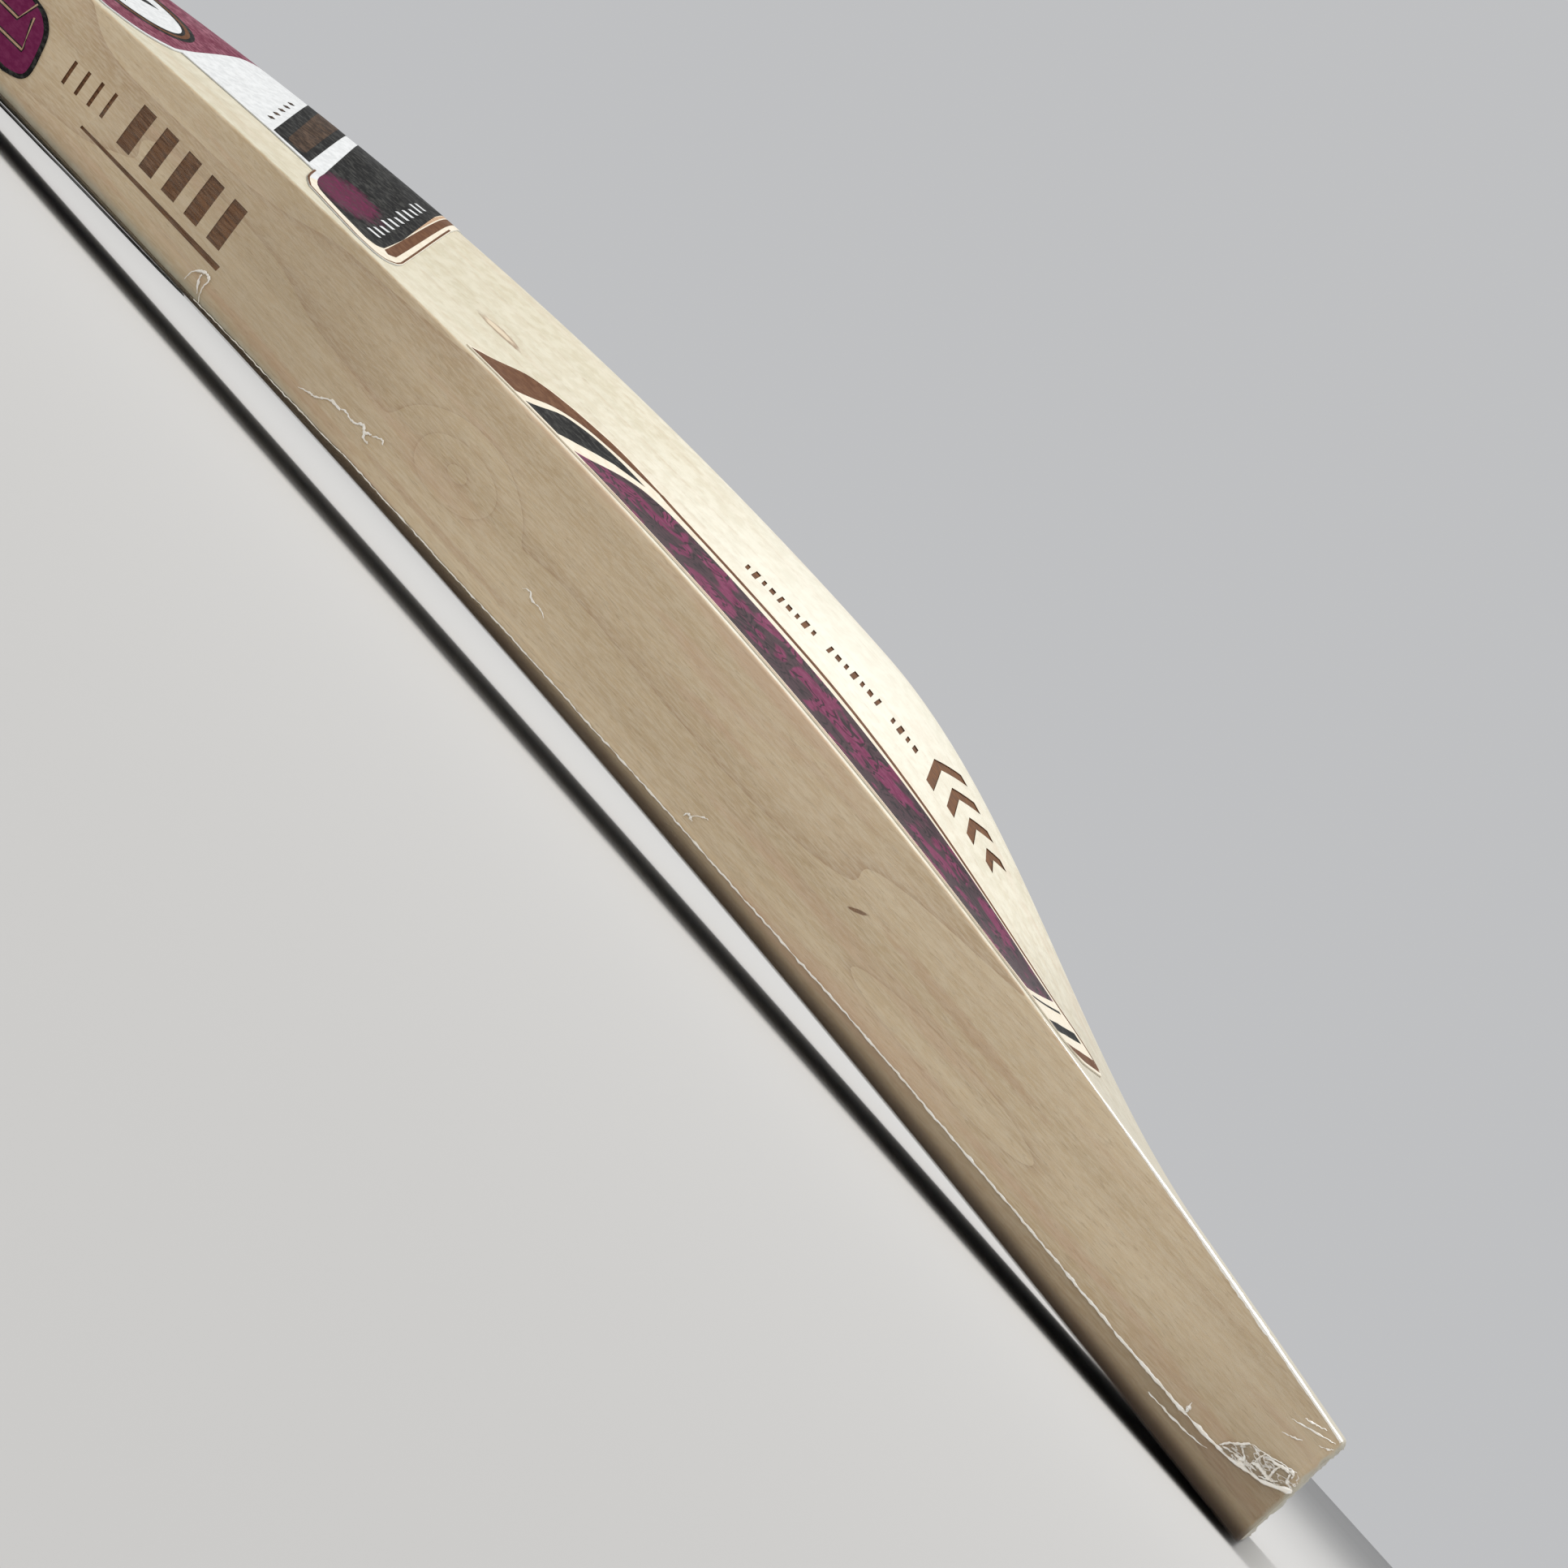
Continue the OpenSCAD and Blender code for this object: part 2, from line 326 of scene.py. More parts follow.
def cut_into_cells(outline, cell):
    """Points and faces of a flat outline, cut on a grid so that it can bend."""
    bm = bmesh.new()
    ring = [bm.verts.new((a, b, 0)) for a, b in outline]
    bm.faces.new(ring).normal_update()
    bmesh.ops.triangulate(bm, faces=bm.faces[:])
    for axis in (0, 1):
        low = min(p[axis] for p in outline)
        high = max(p[axis] for p in outline)
        for k in range(math.ceil(low / cell[axis]), math.floor(high / cell[axis]) + 1):
            normal = Vector((1, 0, 0)) if axis == 0 else Vector((0, 1, 0))
            bmesh.ops.bisect_plane(
                bm, geom=bm.verts[:] + bm.edges[:] + bm.faces[:],
                plane_co=normal * (k * cell[axis]), plane_no=normal, dist=1e-5,
            )
    bmesh.ops.remove_doubles(bm, verts=bm.verts[:], dist=1e-4)
    bmesh.ops.join_triangles(bm, faces=bm.faces[:], angle_face_threshold=3.1, angle_shape_threshold=3.1)
    bm.verts.index_update()
    points = [(v.co.x, v.co.y) for v in bm.verts]
    faces = [tuple(v.index for v in f.verts) for f in bm.faces]
    border = [
        tuple(v.index for v in e.verts) for e in bm.edges if len(e.link_faces) == 1
    ]
    bm.free()
    return points, faces, border


def plates(name, shapes, materials, cell=(3.0, 2.5)):
    """Thin closed plates on the blade. Each shape is (outline, where, low, high,
    material number): where turns an outline point into (t, walk)."""
    points, faces, slots = [], [], []
    for outline, where, low, high, slot in shapes:
        flat, tops, border = cut_into_cells(outline, cell)
        base = len(points)
        n = len(flat)
        for lift in (low, high):
            points += [skin_point(*where(a, b), lift) for a, b in flat]
        made = [tuple(base + n + i for i in f) for f in tops]
        made += [tuple(base + i for i in reversed(f)) for f in tops]
        made += [(base + a, base + b, base + n + b, base + n + a) for a, b in border]
        faces += made
        slots += [slot] * len(made)
    return new_object(name, points, faces, materials, slots, sharp=30)


def lathe(name, profile, sectors, materials, relief):
    """Ring round the handle from a closed profile of (radius, height above the
    shoulders, share of relief). relief(angle, height) is cut off the radius."""
    points = []
    for r, h, share in profile:
        for j in range(sectors):
            a = 2 * math.pi * j / sectors
            rr = r - (share * relief(a, h) if share else 0)
            points.append((TOE_X - BLADE_L - h, rr * math.sin(a), GRIP_R + rr * math.cos(a)))
    faces = loft_faces(len(profile), sectors, closed_rows=True)
    return new_object(name, points, faces, materials, sharp=50)


def strand(paths, name, materials, sides=6):
    """Thin tapered threads of film, each a list of (point, radius)."""
    points, faces = [], []
    for path in paths:
        base = len(points)
        n = len(path)
        for i, (p, r) in enumerate(path):
            along = (path[min(i + 1, n - 1)][0] - path[max(i - 1, 0)][0]).normalized()
            across = along.cross(Vector((0, 1, 0.2))).normalized()
            up = along.cross(across)
            for k in range(sides):
                a = 2 * math.pi * k / sides
                points.append(p + across * r * math.cos(a) + up * r * math.sin(a))
        for i in range(n - 1):
            for k in range(sides):
                k2 = (k + 1) % sides
                a, b = base + i * sides, base + (i + 1) * sides
                faces.append((a + k, a + k2, b + k2, b + k))
        faces.append(tuple(base + k for k in range(sides)))
        faces.append(tuple(base + (n - 1) * sides + k for k in reversed(range(sides))))
    return new_object(name, points, faces, materials)


# --------------------------------------------------------------- materials

class Paint:
    """Short calls for building one node material. Positions are in millimetres."""

    def __init__(self, name, **constants):
        self.material = bpy.data.materials.new(name)
        self.material.use_nodes = True
        tree = self.material.node_tree
        self.nodes, self.links = tree.nodes, tree.links
        self.shader = self.nodes["Principled BSDF"]
        for key, value in constants.items():
            self.shader.inputs[key.replace("_", " ")].default_value = value
        coords = self.nodes.new("ShaderNodeTexCoord")
        self.at = self.vector("SCALE", coords.outputs["Object"], scale=1000.0)
        self.x, self.y, self.z = self.parts(self.at)

    def feed(self, socket, value):
        if hasattr(value, "is_linked"):
            self.links.new(value, socket)
        elif isinstance(value, tuple) and len(value) == 3 and socket.type == "RGBA":
            socket.default_value = (*value, 1)
        else:
            socket.default_value = value

    def parts(self, vector):
        split = self.nodes.new("ShaderNodeSeparateXYZ")
        self.links.new(vector, split.inputs[0])
        return split.outputs

    def math(self, kind, a, b=0.0):
        node = self.nodes.new("ShaderNodeMath")
        node.operation = kind
        for socket, value in zip(node.inputs, (a, b)):
            self.feed(socket, value)
        return node.outputs[0]

    def times(self, a, b):
        return self.math("MULTIPLY", a, b)

    def plus(self, a, b):
        return self.math("ADD", a, b)

    def vector(self, kind, a, b=None, scale=None):
        node = self.nodes.new("ShaderNodeVectorMath")
        node.operation = kind
        self.feed(node.inputs[0], a)
        if b is not None:
            self.feed(node.inputs[1], b)
        if scale is not None:
            node.inputs["Scale"].default_value = scale
        return node.outputs[0]

    def noise(self, size, detail=2.0, rough=0.5, shift=0.0, distort=0.0):
        """Noise from about 0 to 1, with features about size mm along X, Y and Z."""
        stretched = self.vector("MULTIPLY", self.at, tuple(1 / s for s in size))
        node = self.nodes.new("ShaderNodeTexNoise")
        node.noise_dimensions = "3D"
        moved = self.vector("ADD", stretched, (shift, shift * 0.7, shift * 1.3))
        self.links.new(moved, node.inputs["Vector"])
        node.inputs["Scale"].default_value = 1.0
        node.inputs["Detail"].default_value = detail
        node.inputs["Roughness"].default_value = rough
        node.inputs["Distortion"].default_value = distort
        return node.outputs[0]

    def span(self, value, low=0.3, high=0.7, to_low=0.0, to_high=1.0):
        """Value from low..high to to_low..to_high, held at the ends, smooth."""
        node = self.nodes.new("ShaderNodeMapRange")
        node.interpolation_type = "SMOOTHSTEP"
        self.feed(node.inputs["Value"], value)
        for key, number in zip(("From Min", "From Max", "To Min", "To Max"), (low, high, to_low, to_high)):
            node.inputs[key].default_value = number
        return node.outputs[0]

    def mix(self, share, a, b):
        node = self.nodes.new("ShaderNodeMix")
        node.data_type = "RGBA"
        self.feed(node.inputs[0], share)
        self.feed(node.inputs[6], a)
        self.feed(node.inputs[7], b)
        return node.outputs[2]

    def normal(self):
        """Parts of the surface's direction."""
        return self.parts(self.nodes.new("ShaderNodeNewGeometry").outputs["Normal"])

    def reach(self, centre, radii, turn=0.0):
        """Distance from the centre in radii of an ellipsoid that leans by turn in X and Z."""
        moved = self.vector("SUBTRACT", self.at, tuple(centre))
        node = self.nodes.new("ShaderNodeVectorRotate")
        node.rotation_type = "Y_AXIS"
        node.inputs["Angle"].default_value = turn
        self.links.new(moved, node.inputs["Vector"])
        length = self.nodes.new("ShaderNodeVectorMath")
        length.operation = "LENGTH"
        self.links.new(self.vector("DIVIDE", node.outputs[0], radii), length.inputs[0])
        return length.outputs["Value"]

    def hump(self, centre, radii):
        """1 at the centre, falling smoothly to 0 at the radii."""
        return self.span(self.reach(centre, radii), 0.0, 1.0, 1.0, 0.0)

    def spot(self, centre, radii, turn=0.0):
        """1 inside an ellipsoid with a ragged soft border, else 0."""
        rough = self.noise((3, 1, 1), 3, shift=5)
        return self.span(self.plus(self.reach(centre, radii, turn), rough), 1.1, 1.6, 1.0, 0.0)

    def finish(self, colour, rough, height=None, depth=0.1, alpha=None):
        """The finished material; depth is the bump's height in millimetres."""
        self.links.new(colour, self.shader.inputs["Base Color"])
        self.links.new(rough, self.shader.inputs["Roughness"])
        if alpha is not None:
            self.links.new(alpha, self.shader.inputs["Alpha"])
        if height is not None:
            bump = self.nodes.new("ShaderNodeBump")
            bump.inputs["Strength"].default_value = 1.0
            bump.inputs["Distance"].default_value = depth * 0.001
            self.links.new(height, bump.inputs["Height"])
            self.links.new(bump.outputs[0], self.shader.inputs["Normal"])
        return self.material


def willow():
    """Pale straight-grained wood: rings 8.5 mm apart across the face, which turn
    into wide loops where an edge runs along one ring."""
    p = Paint("willow", Specular_IOR_Level=0.45)
    flat = p.span(p.math("ABSOLUTE", p.normal()[1]), 0.55, 0.92, 1.0, 0.0)

    # growth rings, pushed aside by a slow drift and round two places on the edge
    ring_gap = 8.5
    drift = p.times(p.noise((230, 60, 34), 2.0, shift=3), 22.0)
    for where, radii, push in (((267, 18), (24, 30, 12), 19.0), ((104, 13), (60, 30, 8), 10.0)):
        drift = p.plus(drift, p.times(p.hump(edge_place(*where), radii), push))
    ring = p.math("DIVIDE", p.plus(p.y, drift), ring_gap)
    phase = p.math("FRACT", p.plus(ring, 40.0))
    line = p.times(p.math("POWER", phase, 26.0), p.span(flat, 0.0, 1.0, 0.52, 0.22))
    late = p.times(p.math("POWER", phase, 5.0), p.span(flat, 0.0, 1.0, 0.28, 0.12))

    broad = p.span(p.noise((150, 14, 12), 3.0, shift=11), 0.35, 0.68)
    streak = p.noise((60, 1.3, 1.3), 3.0, 0.6, shift=21)
    dash = p.noise((4.0, 0.42, 0.42), 2.0, 0.7, shift=31)
    pore = p.span(p.noise((2.6, 0.3, 0.3), 1.0, shift=41), 0.6, 0.75)
    mottle = p.noise((3.4, 3.0, 3.0), 2.0, 0.6, shift=51)
    # the back and face take a paler, greyer tone than the edges: partly the wood's own colour on those
    # faces, partly a painted sheen for the light the back catches
    edge_tone = p.mix(broad, (0.68, 0.535, 0.345), (0.53, 0.395, 0.232))
    flat_tone = p.mix(broad, (0.625, 0.592, 0.47), (0.56, 0.522, 0.39))
    colour = p.mix(flat, edge_tone, flat_tone)
    colour = p.mix(late, colour, (0.43, 0.285, 0.165))
    colour = p.mix(line, colour, (0.33, 0.185, 0.095))
    calm = p.span(flat, 0.0, 1.0, 1.0, 0.45)
    colour = p.mix(p.times(p.span(streak, 0.36, 0.72, 0.0, 0.36), calm), colour, (0.45, 0.318, 0.186))
    colour = p.mix(p.times(p.span(dash, 0.36, 0.66, 0.0, 0.34), calm), colour, (0.78, 0.68, 0.51))
    colour = p.mix(p.times(pore, 0.3), colour, (0.33, 0.225, 0.13))
    cream = p.times(p.span(mottle, 0.36, 0.66), p.span(flat, 0.0, 1.0, 0.05, 0.38))
    colour = p.mix(cream, colour, (0.8, 0.775, 0.66))
    pink = p.times(p.span(p.noise((70, 6, 6), 2.0, shift=61), 0.54, 0.72, 0.0, 0.34), calm)
    colour = p.mix(pink, colour, (0.56, 0.335, 0.225))

    # painted sheen: the back is whiter over the swell, where it catches the most light
    swell = p.times(p.hump(back_place(188, 0), (78, 200, 80)), flat)
    colour = p.mix(p.times(swell, 0.42), colour, (0.74, 0.74, 0.67))
    # painted shade: the back is darker and yellower above the swell, where the light falls off towards the
    # handle
    upper = p.times(p.span(p.x, TOE_X - 300, TOE_X - 235, 0.26, 0.0), flat)
    colour = p.mix(upper, colour, (0.47, 0.425, 0.29))

    # greyer low on the back as painted shade, where the slope turns towards the toe and away from the
    # light, with a fine wavy figure in the grain
    low = p.times(p.span(p.x, TOE_X - 125, TOE_X - 85, 0.0, 0.48), flat)
    colour = p.mix(low, colour, (0.43, 0.395, 0.32))
    bend = p.times(p.noise((12, 5, 5), 3.0, shift=71), 30.0)
    wave = p.span(p.math("SINE", p.plus(p.times(p.x, 1.1), bend)), 0.2, 0.9)
    for y in (-32, 32):
        near = p.times(p.hump(back_place(92, y), (50, 30, 26)), flat)
        colour = p.mix(p.times(p.times(wave, near), 0.34), colour, (0.33, 0.29, 0.225))

    # the edges are darker at the toe and below the engraving; below the engraving this is painted shade
    # where the light falls off towards the handle
    wall = p.math("SUBTRACT", 1.0, flat)
    for t, radii in ((330, (62, 200, 60)), (8, (52, 200, 60))):
        edge_darkening = p.times(p.times(p.hump(edge_place(t, 15), radii), wall), 0.3)
        colour = p.mix(edge_darkening, colour, (0.3, 0.225, 0.14))

    # stains and small flecks where the grain was disturbed
    rust, umber, cream_core = (0.4, 0.2, 0.105), (0.21, 0.11, 0.05), (0.7, 0.6, 0.44)
    marks = [
        (edge_place(316, 4.2), (36.0, 4.0, 1.4), 0.0, 0.24, rust),
        (edge_place(262, 6.0), (30.0, 4.0, 0.9), 0.0, 0.25, rust),
        (edge_place(106, 22.0), (26.0, 4.0, 1.6), -0.04, 0.3, rust),
        (back_place(298, -31.5), (7.5, 1.8, 1.8), 0.06, 0.75, umber),
        (back_place(298.6, -31.3), (5.6, 1.1, 1.1), 0.06, 0.85, cream_core),
        (edge_place(136.6, 20.3), (2.6, 2.0, 0.42), 0.42, 1.0, umber),
        (back_place(385, 22), (5.0, 2.0, 2.0), 0.05, 0.6, umber),
        (edge_place(255, 15, 1), (5.0, 2.0, 1.0), -0.2, 0.6, umber),
    ]
    for centre, radii, turn, share, tone in marks:
        colour = p.mix(p.times(p.spot(centre, radii, turn), share), colour, tone)

    height = p.plus(p.times(dash, 0.5), p.times(streak, 0.5))
    height = p.math("SUBTRACT", height, p.times(pore, 0.4))
    rough = p.span(streak, 0.25, 0.75, 0.36, 0.52)
    return p.finish(colour, rough, height, 0.04)


def burnt():
    """Wood scorched by the engraving."""
    p = Paint("burnt_engraving", Specular_IOR_Level=0.2)
    grain = p.noise((6, 0.4, 0.4), 3.0, shift=7)
    colour = p.mix(p.span(grain), (0.085, 0.036, 0.016), (0.19, 0.09, 0.042))
    return p.finish(colour, p.span(grain, 0.3, 0.7, 0.6, 0.85), grain, 0.08)


def cane_wood():
    """Cane: straight vessels, a little yellower than the willow."""
    p = Paint("cane", Specular_IOR_Level=0.4)
    vessel = p.noise((60, 0.45, 0.45), 3.0, 0.6, shift=2)
    tone = p.noise((90, 4, 4), 2.0, shift=12)
    colour = p.mix(p.span(tone), (0.56, 0.4, 0.21), (0.43, 0.285, 0.13))
    colour = p.mix(p.span(vessel, 0.5, 0.72, 0.0, 0.6), colour, (0.2, 0.115, 0.045))
    return p.finish(colour, p.span(tone, 0.3, 0.7, 0.4, 0.55), vessel, 0.1)


def spring_rubber():
    p = Paint("spring_rubber", Specular_IOR_Level=0.3)
    grain = p.noise((0.8, 0.8, 0.8), 3.0)
    colour = p.mix(p.span(grain), (0.012, 0.012, 0.013), (0.035, 0.034, 0.034))
    return p.finish(colour, p.span(grain, 0.3, 0.7, 0.6, 0.8), grain, 0.05)


def grip_rubber():
    """Moulded rubber with fine paler dusty specks."""
    p = Paint("grip_rubber", Specular_IOR_Level=0.4)
    fine = p.noise((0.5, 0.5, 0.5), 3.0, 0.6)
    cloud = p.noise((30, 14, 14), 3.0, shift=9)
    colour = p.mix(p.span(cloud), (0.12, 0.02, 0.05), (0.085, 0.014, 0.036))
    colour = p.mix(p.span(fine, 0.55, 0.8, 0.0, 0.25), colour, (0.2, 0.08, 0.11))
    return p.finish(colour, p.span(cloud, 0.25, 0.75, 0.5, 0.68), fine, 0.06)


def twine():
    p = Paint("twine", Specular_IOR_Level=0.25)
    ply = p.noise((0.35, 0.9, 0.9), 2.0, shift=4)
    tone = p.noise((14, 9, 9), 2.0, shift=14)
    colour = p.mix(p.span(tone), (0.56, 0.47, 0.32), (0.44, 0.35, 0.22))
    colour = p.mix(p.span(ply, 0.45, 0.7, 0.0, 0.5), colour, (0.26, 0.195, 0.11))
    return p.finish(colour, p.span(ply, 0.3, 0.7, 0.6, 0.8), ply, 0.12)


def tape():
    p = Paint("collar_tape", Specular_IOR_Level=0.5)
    cloth = p.noise((0.6, 0.6, 0.6), 2.0)
    worn = p.noise((6, 12, 12), 3.0, shift=3)
    colour = p.mix(p.span(worn, 0.35, 0.75), (0.03, 0.03, 0.032), (0.075, 0.072, 0.07))
    return p.finish(colour, p.span(worn, 0.3, 0.7, 0.3, 0.5), cloth, 0.04)


def clear_sheet():
    """Clear facing sheet: shiny, with painted shade: browner, darker and less clear where it bends round
    the face corner and faces the floor.
    """
    p = Paint("clear_sheet", Specular_IOR_Level=0.5)
    fibre = p.noise((14, 1.2, 1.2), 3.0, 0.6, shift=6)
    cloud = p.noise((40, 8, 8), 2.0, shift=16)
    down = p.times(p.normal()[2], -1.0)
    # painted shade where the sheet turns down round the face corner
    bend = p.times(p.span(down, 0.1, 0.8), p.span(down, 0.93, 0.999, 1.0, 0.0))
    colour = p.mix(p.span(cloud), (0.24, 0.17, 0.1), (0.34, 0.265, 0.17))
    colour = p.mix(bend, colour, (0.085, 0.048, 0.024))
    alpha = p.plus(p.span(cloud, 0.25, 0.75, 0.1, 0.2), p.times(bend, 0.5))
    return p.finish(colour, p.span(fibre, 0.3, 0.7, 0.16, 0.3), fibre, 0.05, alpha)


def clear_film():
    """Thin clear film on the edges, all but invisible except for its shine."""
    p = Paint("clear_film", Specular_IOR_Level=0.5)
    fine = p.noise((5, 0.8, 0.8), 3.0, 0.6, shift=8)
    colour = p.mix(p.span(fine), (0.7, 0.6, 0.44), (0.82, 0.74, 0.6))
    alpha = p.span(fine, 0.25, 0.8, 0.01, 0.05)
    return p.finish(colour, p.span(fine, 0.3, 0.7, 0.22, 0.36), fine, 0.04, alpha)


def film_edge_highlight():
    """Cut edge and sharp creases of film, painted near-white as a highlight for the light these thin ridges
    catch.
    """
    p = Paint("film_edge_highlight", Specular_IOR_Level=0.9)
    ragged = p.noise((1.6, 0.5, 0.5), 3.0, 0.7, shift=18)
    colour = p.mix(p.span(ragged), (0.98, 0.965, 0.92), (0.9, 0.84, 0.73))
    return p.finish(colour, p.span(ragged, 0.3, 0.7, 0.12, 0.35), ragged, 0.08)


def crumpled_film():
    """Film pushed into folds: clear between the folds, with a painted highlight along them, near white
    where they catch the light.
    """
    p = Paint("crumpled_film", Specular_IOR_Level=0.8)
    fold = p.noise((4.5, 2.2, 2.2), 2.0, 0.5, shift=28, distort=0.6)
    ridge = p.math("ABSOLUTE", p.math("SUBTRACT", fold, 0.5))
    white = p.span(ridge, 0.0, 0.05, 1.0, 0.0)
    colour = p.mix(white, (0.64, 0.52, 0.37), (0.98, 0.96, 0.91))
    alpha = p.span(ridge, 0.0, 0.05, 0.6, 0.07)
    return p.finish(colour, p.span(fold, 0.3, 0.7, 0.1, 0.25), fold, 0.2, alpha)


def print_paper(name, size, pale, grey, gloss):
    """Pale printed ground, faintly mottled."""
    p = Paint(name, Specular_IOR_Level=0.1)
    mottle = p.noise(size, 3.0, 0.6)
    colour = p.mix(p.span(mottle), pale, grey)
    return p.finish(colour, p.span(mottle, 0.3, 0.7, *gloss), mottle, 0.03)


def print_maroon():
    """Marbled print: plum patches, and dark ones crossed by thin wandering lines."""
    p = Paint("print_maroon", Specular_IOR_Level=0.1)
    patch = p.span(p.noise((11, 6, 6), 1.5, shift=2, distort=0.8), 0.44, 0.52)
    bend = p.times(p.noise((7, 3.2, 3.2), 1.0, shift=12), 34.0)
    wave = p.math("SINE", p.plus(p.times(p.x, 1.9), bend))
    gate = p.span(p.noise((9, 4, 4), 1.0, shift=42), 0.4, 0.52)
    brush = p.noise((2.4, 0.8, 0.8), 3.0, 0.6, shift=32)
    plum = p.mix(p.span(brush, 0.35, 0.7), (0.135, 0.011, 0.056), (0.19, 0.036, 0.092))
    dark = p.mix(p.span(brush, 0.35, 0.7), (0.04, 0.02, 0.026), (0.066, 0.034, 0.042))
    colour = p.mix(patch, plum, dark)
    line = p.times(p.span(wave, 0.3, 0.72), gate)
    colour = p.mix(p.times(line, 0.85), colour, (0.012, 0.008, 0.01))
    return p.finish(colour, p.span(brush, 0.3, 0.7, 0.28, 0.4), brush, 0.02)


def print_dark(name, first, second):
    """Brushed print in two close tones."""
    p = Paint(name, Specular_IOR_Level=0.06)
    brush = p.noise((2.2, 0.9, 0.9), 3.0, 0.65, shift=5)
    cloud = p.noise((8, 5, 5), 2.0, shift=15)
    colour = p.mix(p.span(brush, 0.35, 0.7), first, second)
    colour = p.mix(p.span(cloud, 0.4, 0.7, 0.0, 0.4), colour, first)
    return p.finish(colour, p.span(cloud, 0.3, 0.7, 0.42, 0.58), brush, 0.02)


def print_charcoal():
    """Brushed charcoal, stained plum in the label's lower corners."""
    p = Paint("print_charcoal", Specular_IOR_Level=0.06)
    brush = p.noise((2.2, 0.9, 0.9), 3.0, 0.65, shift=5)
    cloud = p.noise((8, 5, 5), 2.0, shift=15)
    colour = p.mix(p.span(brush, 0.42, 0.7), (0.01, 0.01, 0.01), (0.052, 0.052, 0.048))
    for y in (-35.5, 35.5):
        stain = p.spot(back_place(348, y), (11.5, 8.5, 8.5))
        colour = p.mix(p.times(stain, p.span(brush, 0.28, 0.62, 1.0, 0.45)), colour, (0.15, 0.02, 0.066))
    return p.finish(colour, p.span(cloud, 0.3, 0.7, 0.42, 0.58), brush, 0.02)


def studio_floor():
    p = Paint("studio_floor", Specular_IOR_Level=0.2)
    tone = p.noise((900, 900, 900), 2.0)
    colour = p.mix(p.span(tone), (0.52, 0.517, 0.51), (0.49, 0.487, 0.48))
    return p.finish(colour, p.span(tone, 0.3, 0.7, 0.75, 0.8))


WILLOW = willow()
BURNT = burnt()
CANE = cane_wood()
SPRING = spring_rubber()
GRIP = grip_rubber()
TWINE_THREAD = twine()
TAPE = tape()
CLEAR_SHEET = clear_sheet()
CLEAR_FILM = clear_film()
FILM_HIGHLIGHT = film_edge_highlight()
CRUMPLED = crumpled_film()

# the label prints, in the order of the numbers that the outlines use
WHITE_NO, CREAM_NO, MAROON_NO, CHARCOAL_NO, BROWN_NO, UMBER_NO, TAN_NO, CREST_NO, PLUM_NO = range(9)
PRINTS = [
    print_paper("print_white", (1.8, 1.8, 1.8), (0.73, 0.745, 0.75), (0.6, 0.615, 0.62), (0.28, 0.42)),
    print_paper("print_cream", (2.2, 1.6, 1.6), (0.79, 0.73, 0.61), (0.7, 0.63, 0.5), (0.3, 0.44)),
    print_maroon(),
    print_charcoal(),
    print_dark("print_brown", (0.108, 0.046, 0.022), (0.165, 0.08, 0.04)),
    print_dark("print_umber", (0.03, 0.019, 0.013), (0.11, 0.07, 0.046)),
    print_dark("print_tan", (0.42, 0.27, 0.17), (0.56, 0.4, 0.27)),
    print_dark("print_crest", (0.12, 0.02, 0.042), (0.3, 0.11, 0.15)),
    print_dark("print_plum", (0.15, 0.014, 0.066), (0.195, 0.03, 0.092)),
]


# ------------------------------------------------------------------- blade

def blade_walks():
    """Walk values of the +Y half of a section, from the spine to the face centre."""
    slope = [5 - (k + 0.4) / 26 for k in range(26)]
    back_corner = [4 - k / 9 for k in range(10)]
    edge = [3 - k / 30 for k in range(1, 31)]
    face_corner = [2 - k / 9 for k in range(1, 10)]
    face = [1 - k / 20 for k in range(1, 20)]
    return slope + back_corner + edge + face_corner + face


def blade_blank():
    """The whole blade before the joint and the engraving are cut."""
    half = blade_walks()
    ring = half + [-w for w in reversed(half)]
    toe = [TOE_ROUND * (1 - math.cos(math.radians(a))) for a in range(0, 90, 15)]
    ts = toe + steps(TOE_ROUND, 6, 0.75) + steps(6, LABEL_TOP, 2.2)[1:] + steps(LABEL_TOP, BLADE_L, 1.6)[1:]
    points = []
    for t in ts:
        for w in ring:
            p = skin_point(t, w, 0)
            # the sawn toe and its arris are a little ragged
            rough = 0.45 * noise.noise(Vector((p.y, p.z, 3.1)) * 0.55)
            rough += 0.25 * noise.noise(Vector((p.y, p.z, 9.1)) * 1.7)
            p.x += clamp(1 - t / 2.2) * (rough - 0.45)
            points.append(p)
    return new_object("blade", points, loft_faces(len(ts), len(ring)), [WILLOW, BURNT], sharp=35)


def joint_cutter():
    """Tall wedge that cuts the V for the handle."""
    grow = (SPLICE_HALF - SPLICE_TIP) / SPLICE_L
    ends = [(TOE_X - BLADE_L + SPLICE_L, SPLICE_TIP), (TOE_X - BLADE_L - 5, SPLICE_HALF + 5 * grow)]
    gap = 0.06
    points = []
    for z in (-20, 90):
        points += [(ends[0][0] + gap, -ends[0][1] - gap, z), (ends[0][0] + gap, ends[0][1] + gap, z)]
        points += [(ends[1][0], ends[1][1] + gap, z), (ends[1][0], -ends[1][1] - gap, z)]
    faces = [(0, 1, 2, 3), (7, 6, 5, 4), (0, 4, 5, 1), (1, 5, 6, 2), (2, 6, 7, 3), (3, 7, 4, 0)]
    return new_object("joint_cutter", points, faces, [WILLOW, BURNT])


def on_edge(side):
    """Outline points are (t, height above the face) on one edge."""
    return lambda t, h: (t, side * walk_at_height(t, h))


def on_back(side):
    """Outline points are (t, distance from the spine) on one slope of the back."""
    return lambda t, y: (t, side * abs(walk_at_y(t, y)))


def bar(t, low, high, wide, lean):
    """Slanted bar: a parallelogram centred on t."""
    half = wide / 2
    return [(t - half, low), (t + half, low), (t + half + lean, high), (t - half + lean, high)]


def chevron(t, y, long, tall, wide):
    """Arrow head that points to the handle, its tip at t."""
    return [(t, y), (t - long, y + tall), (t - long - wide, y + tall), (t - wide, y),
            (t - long - wide, y - tall), (t - long, y - tall)]


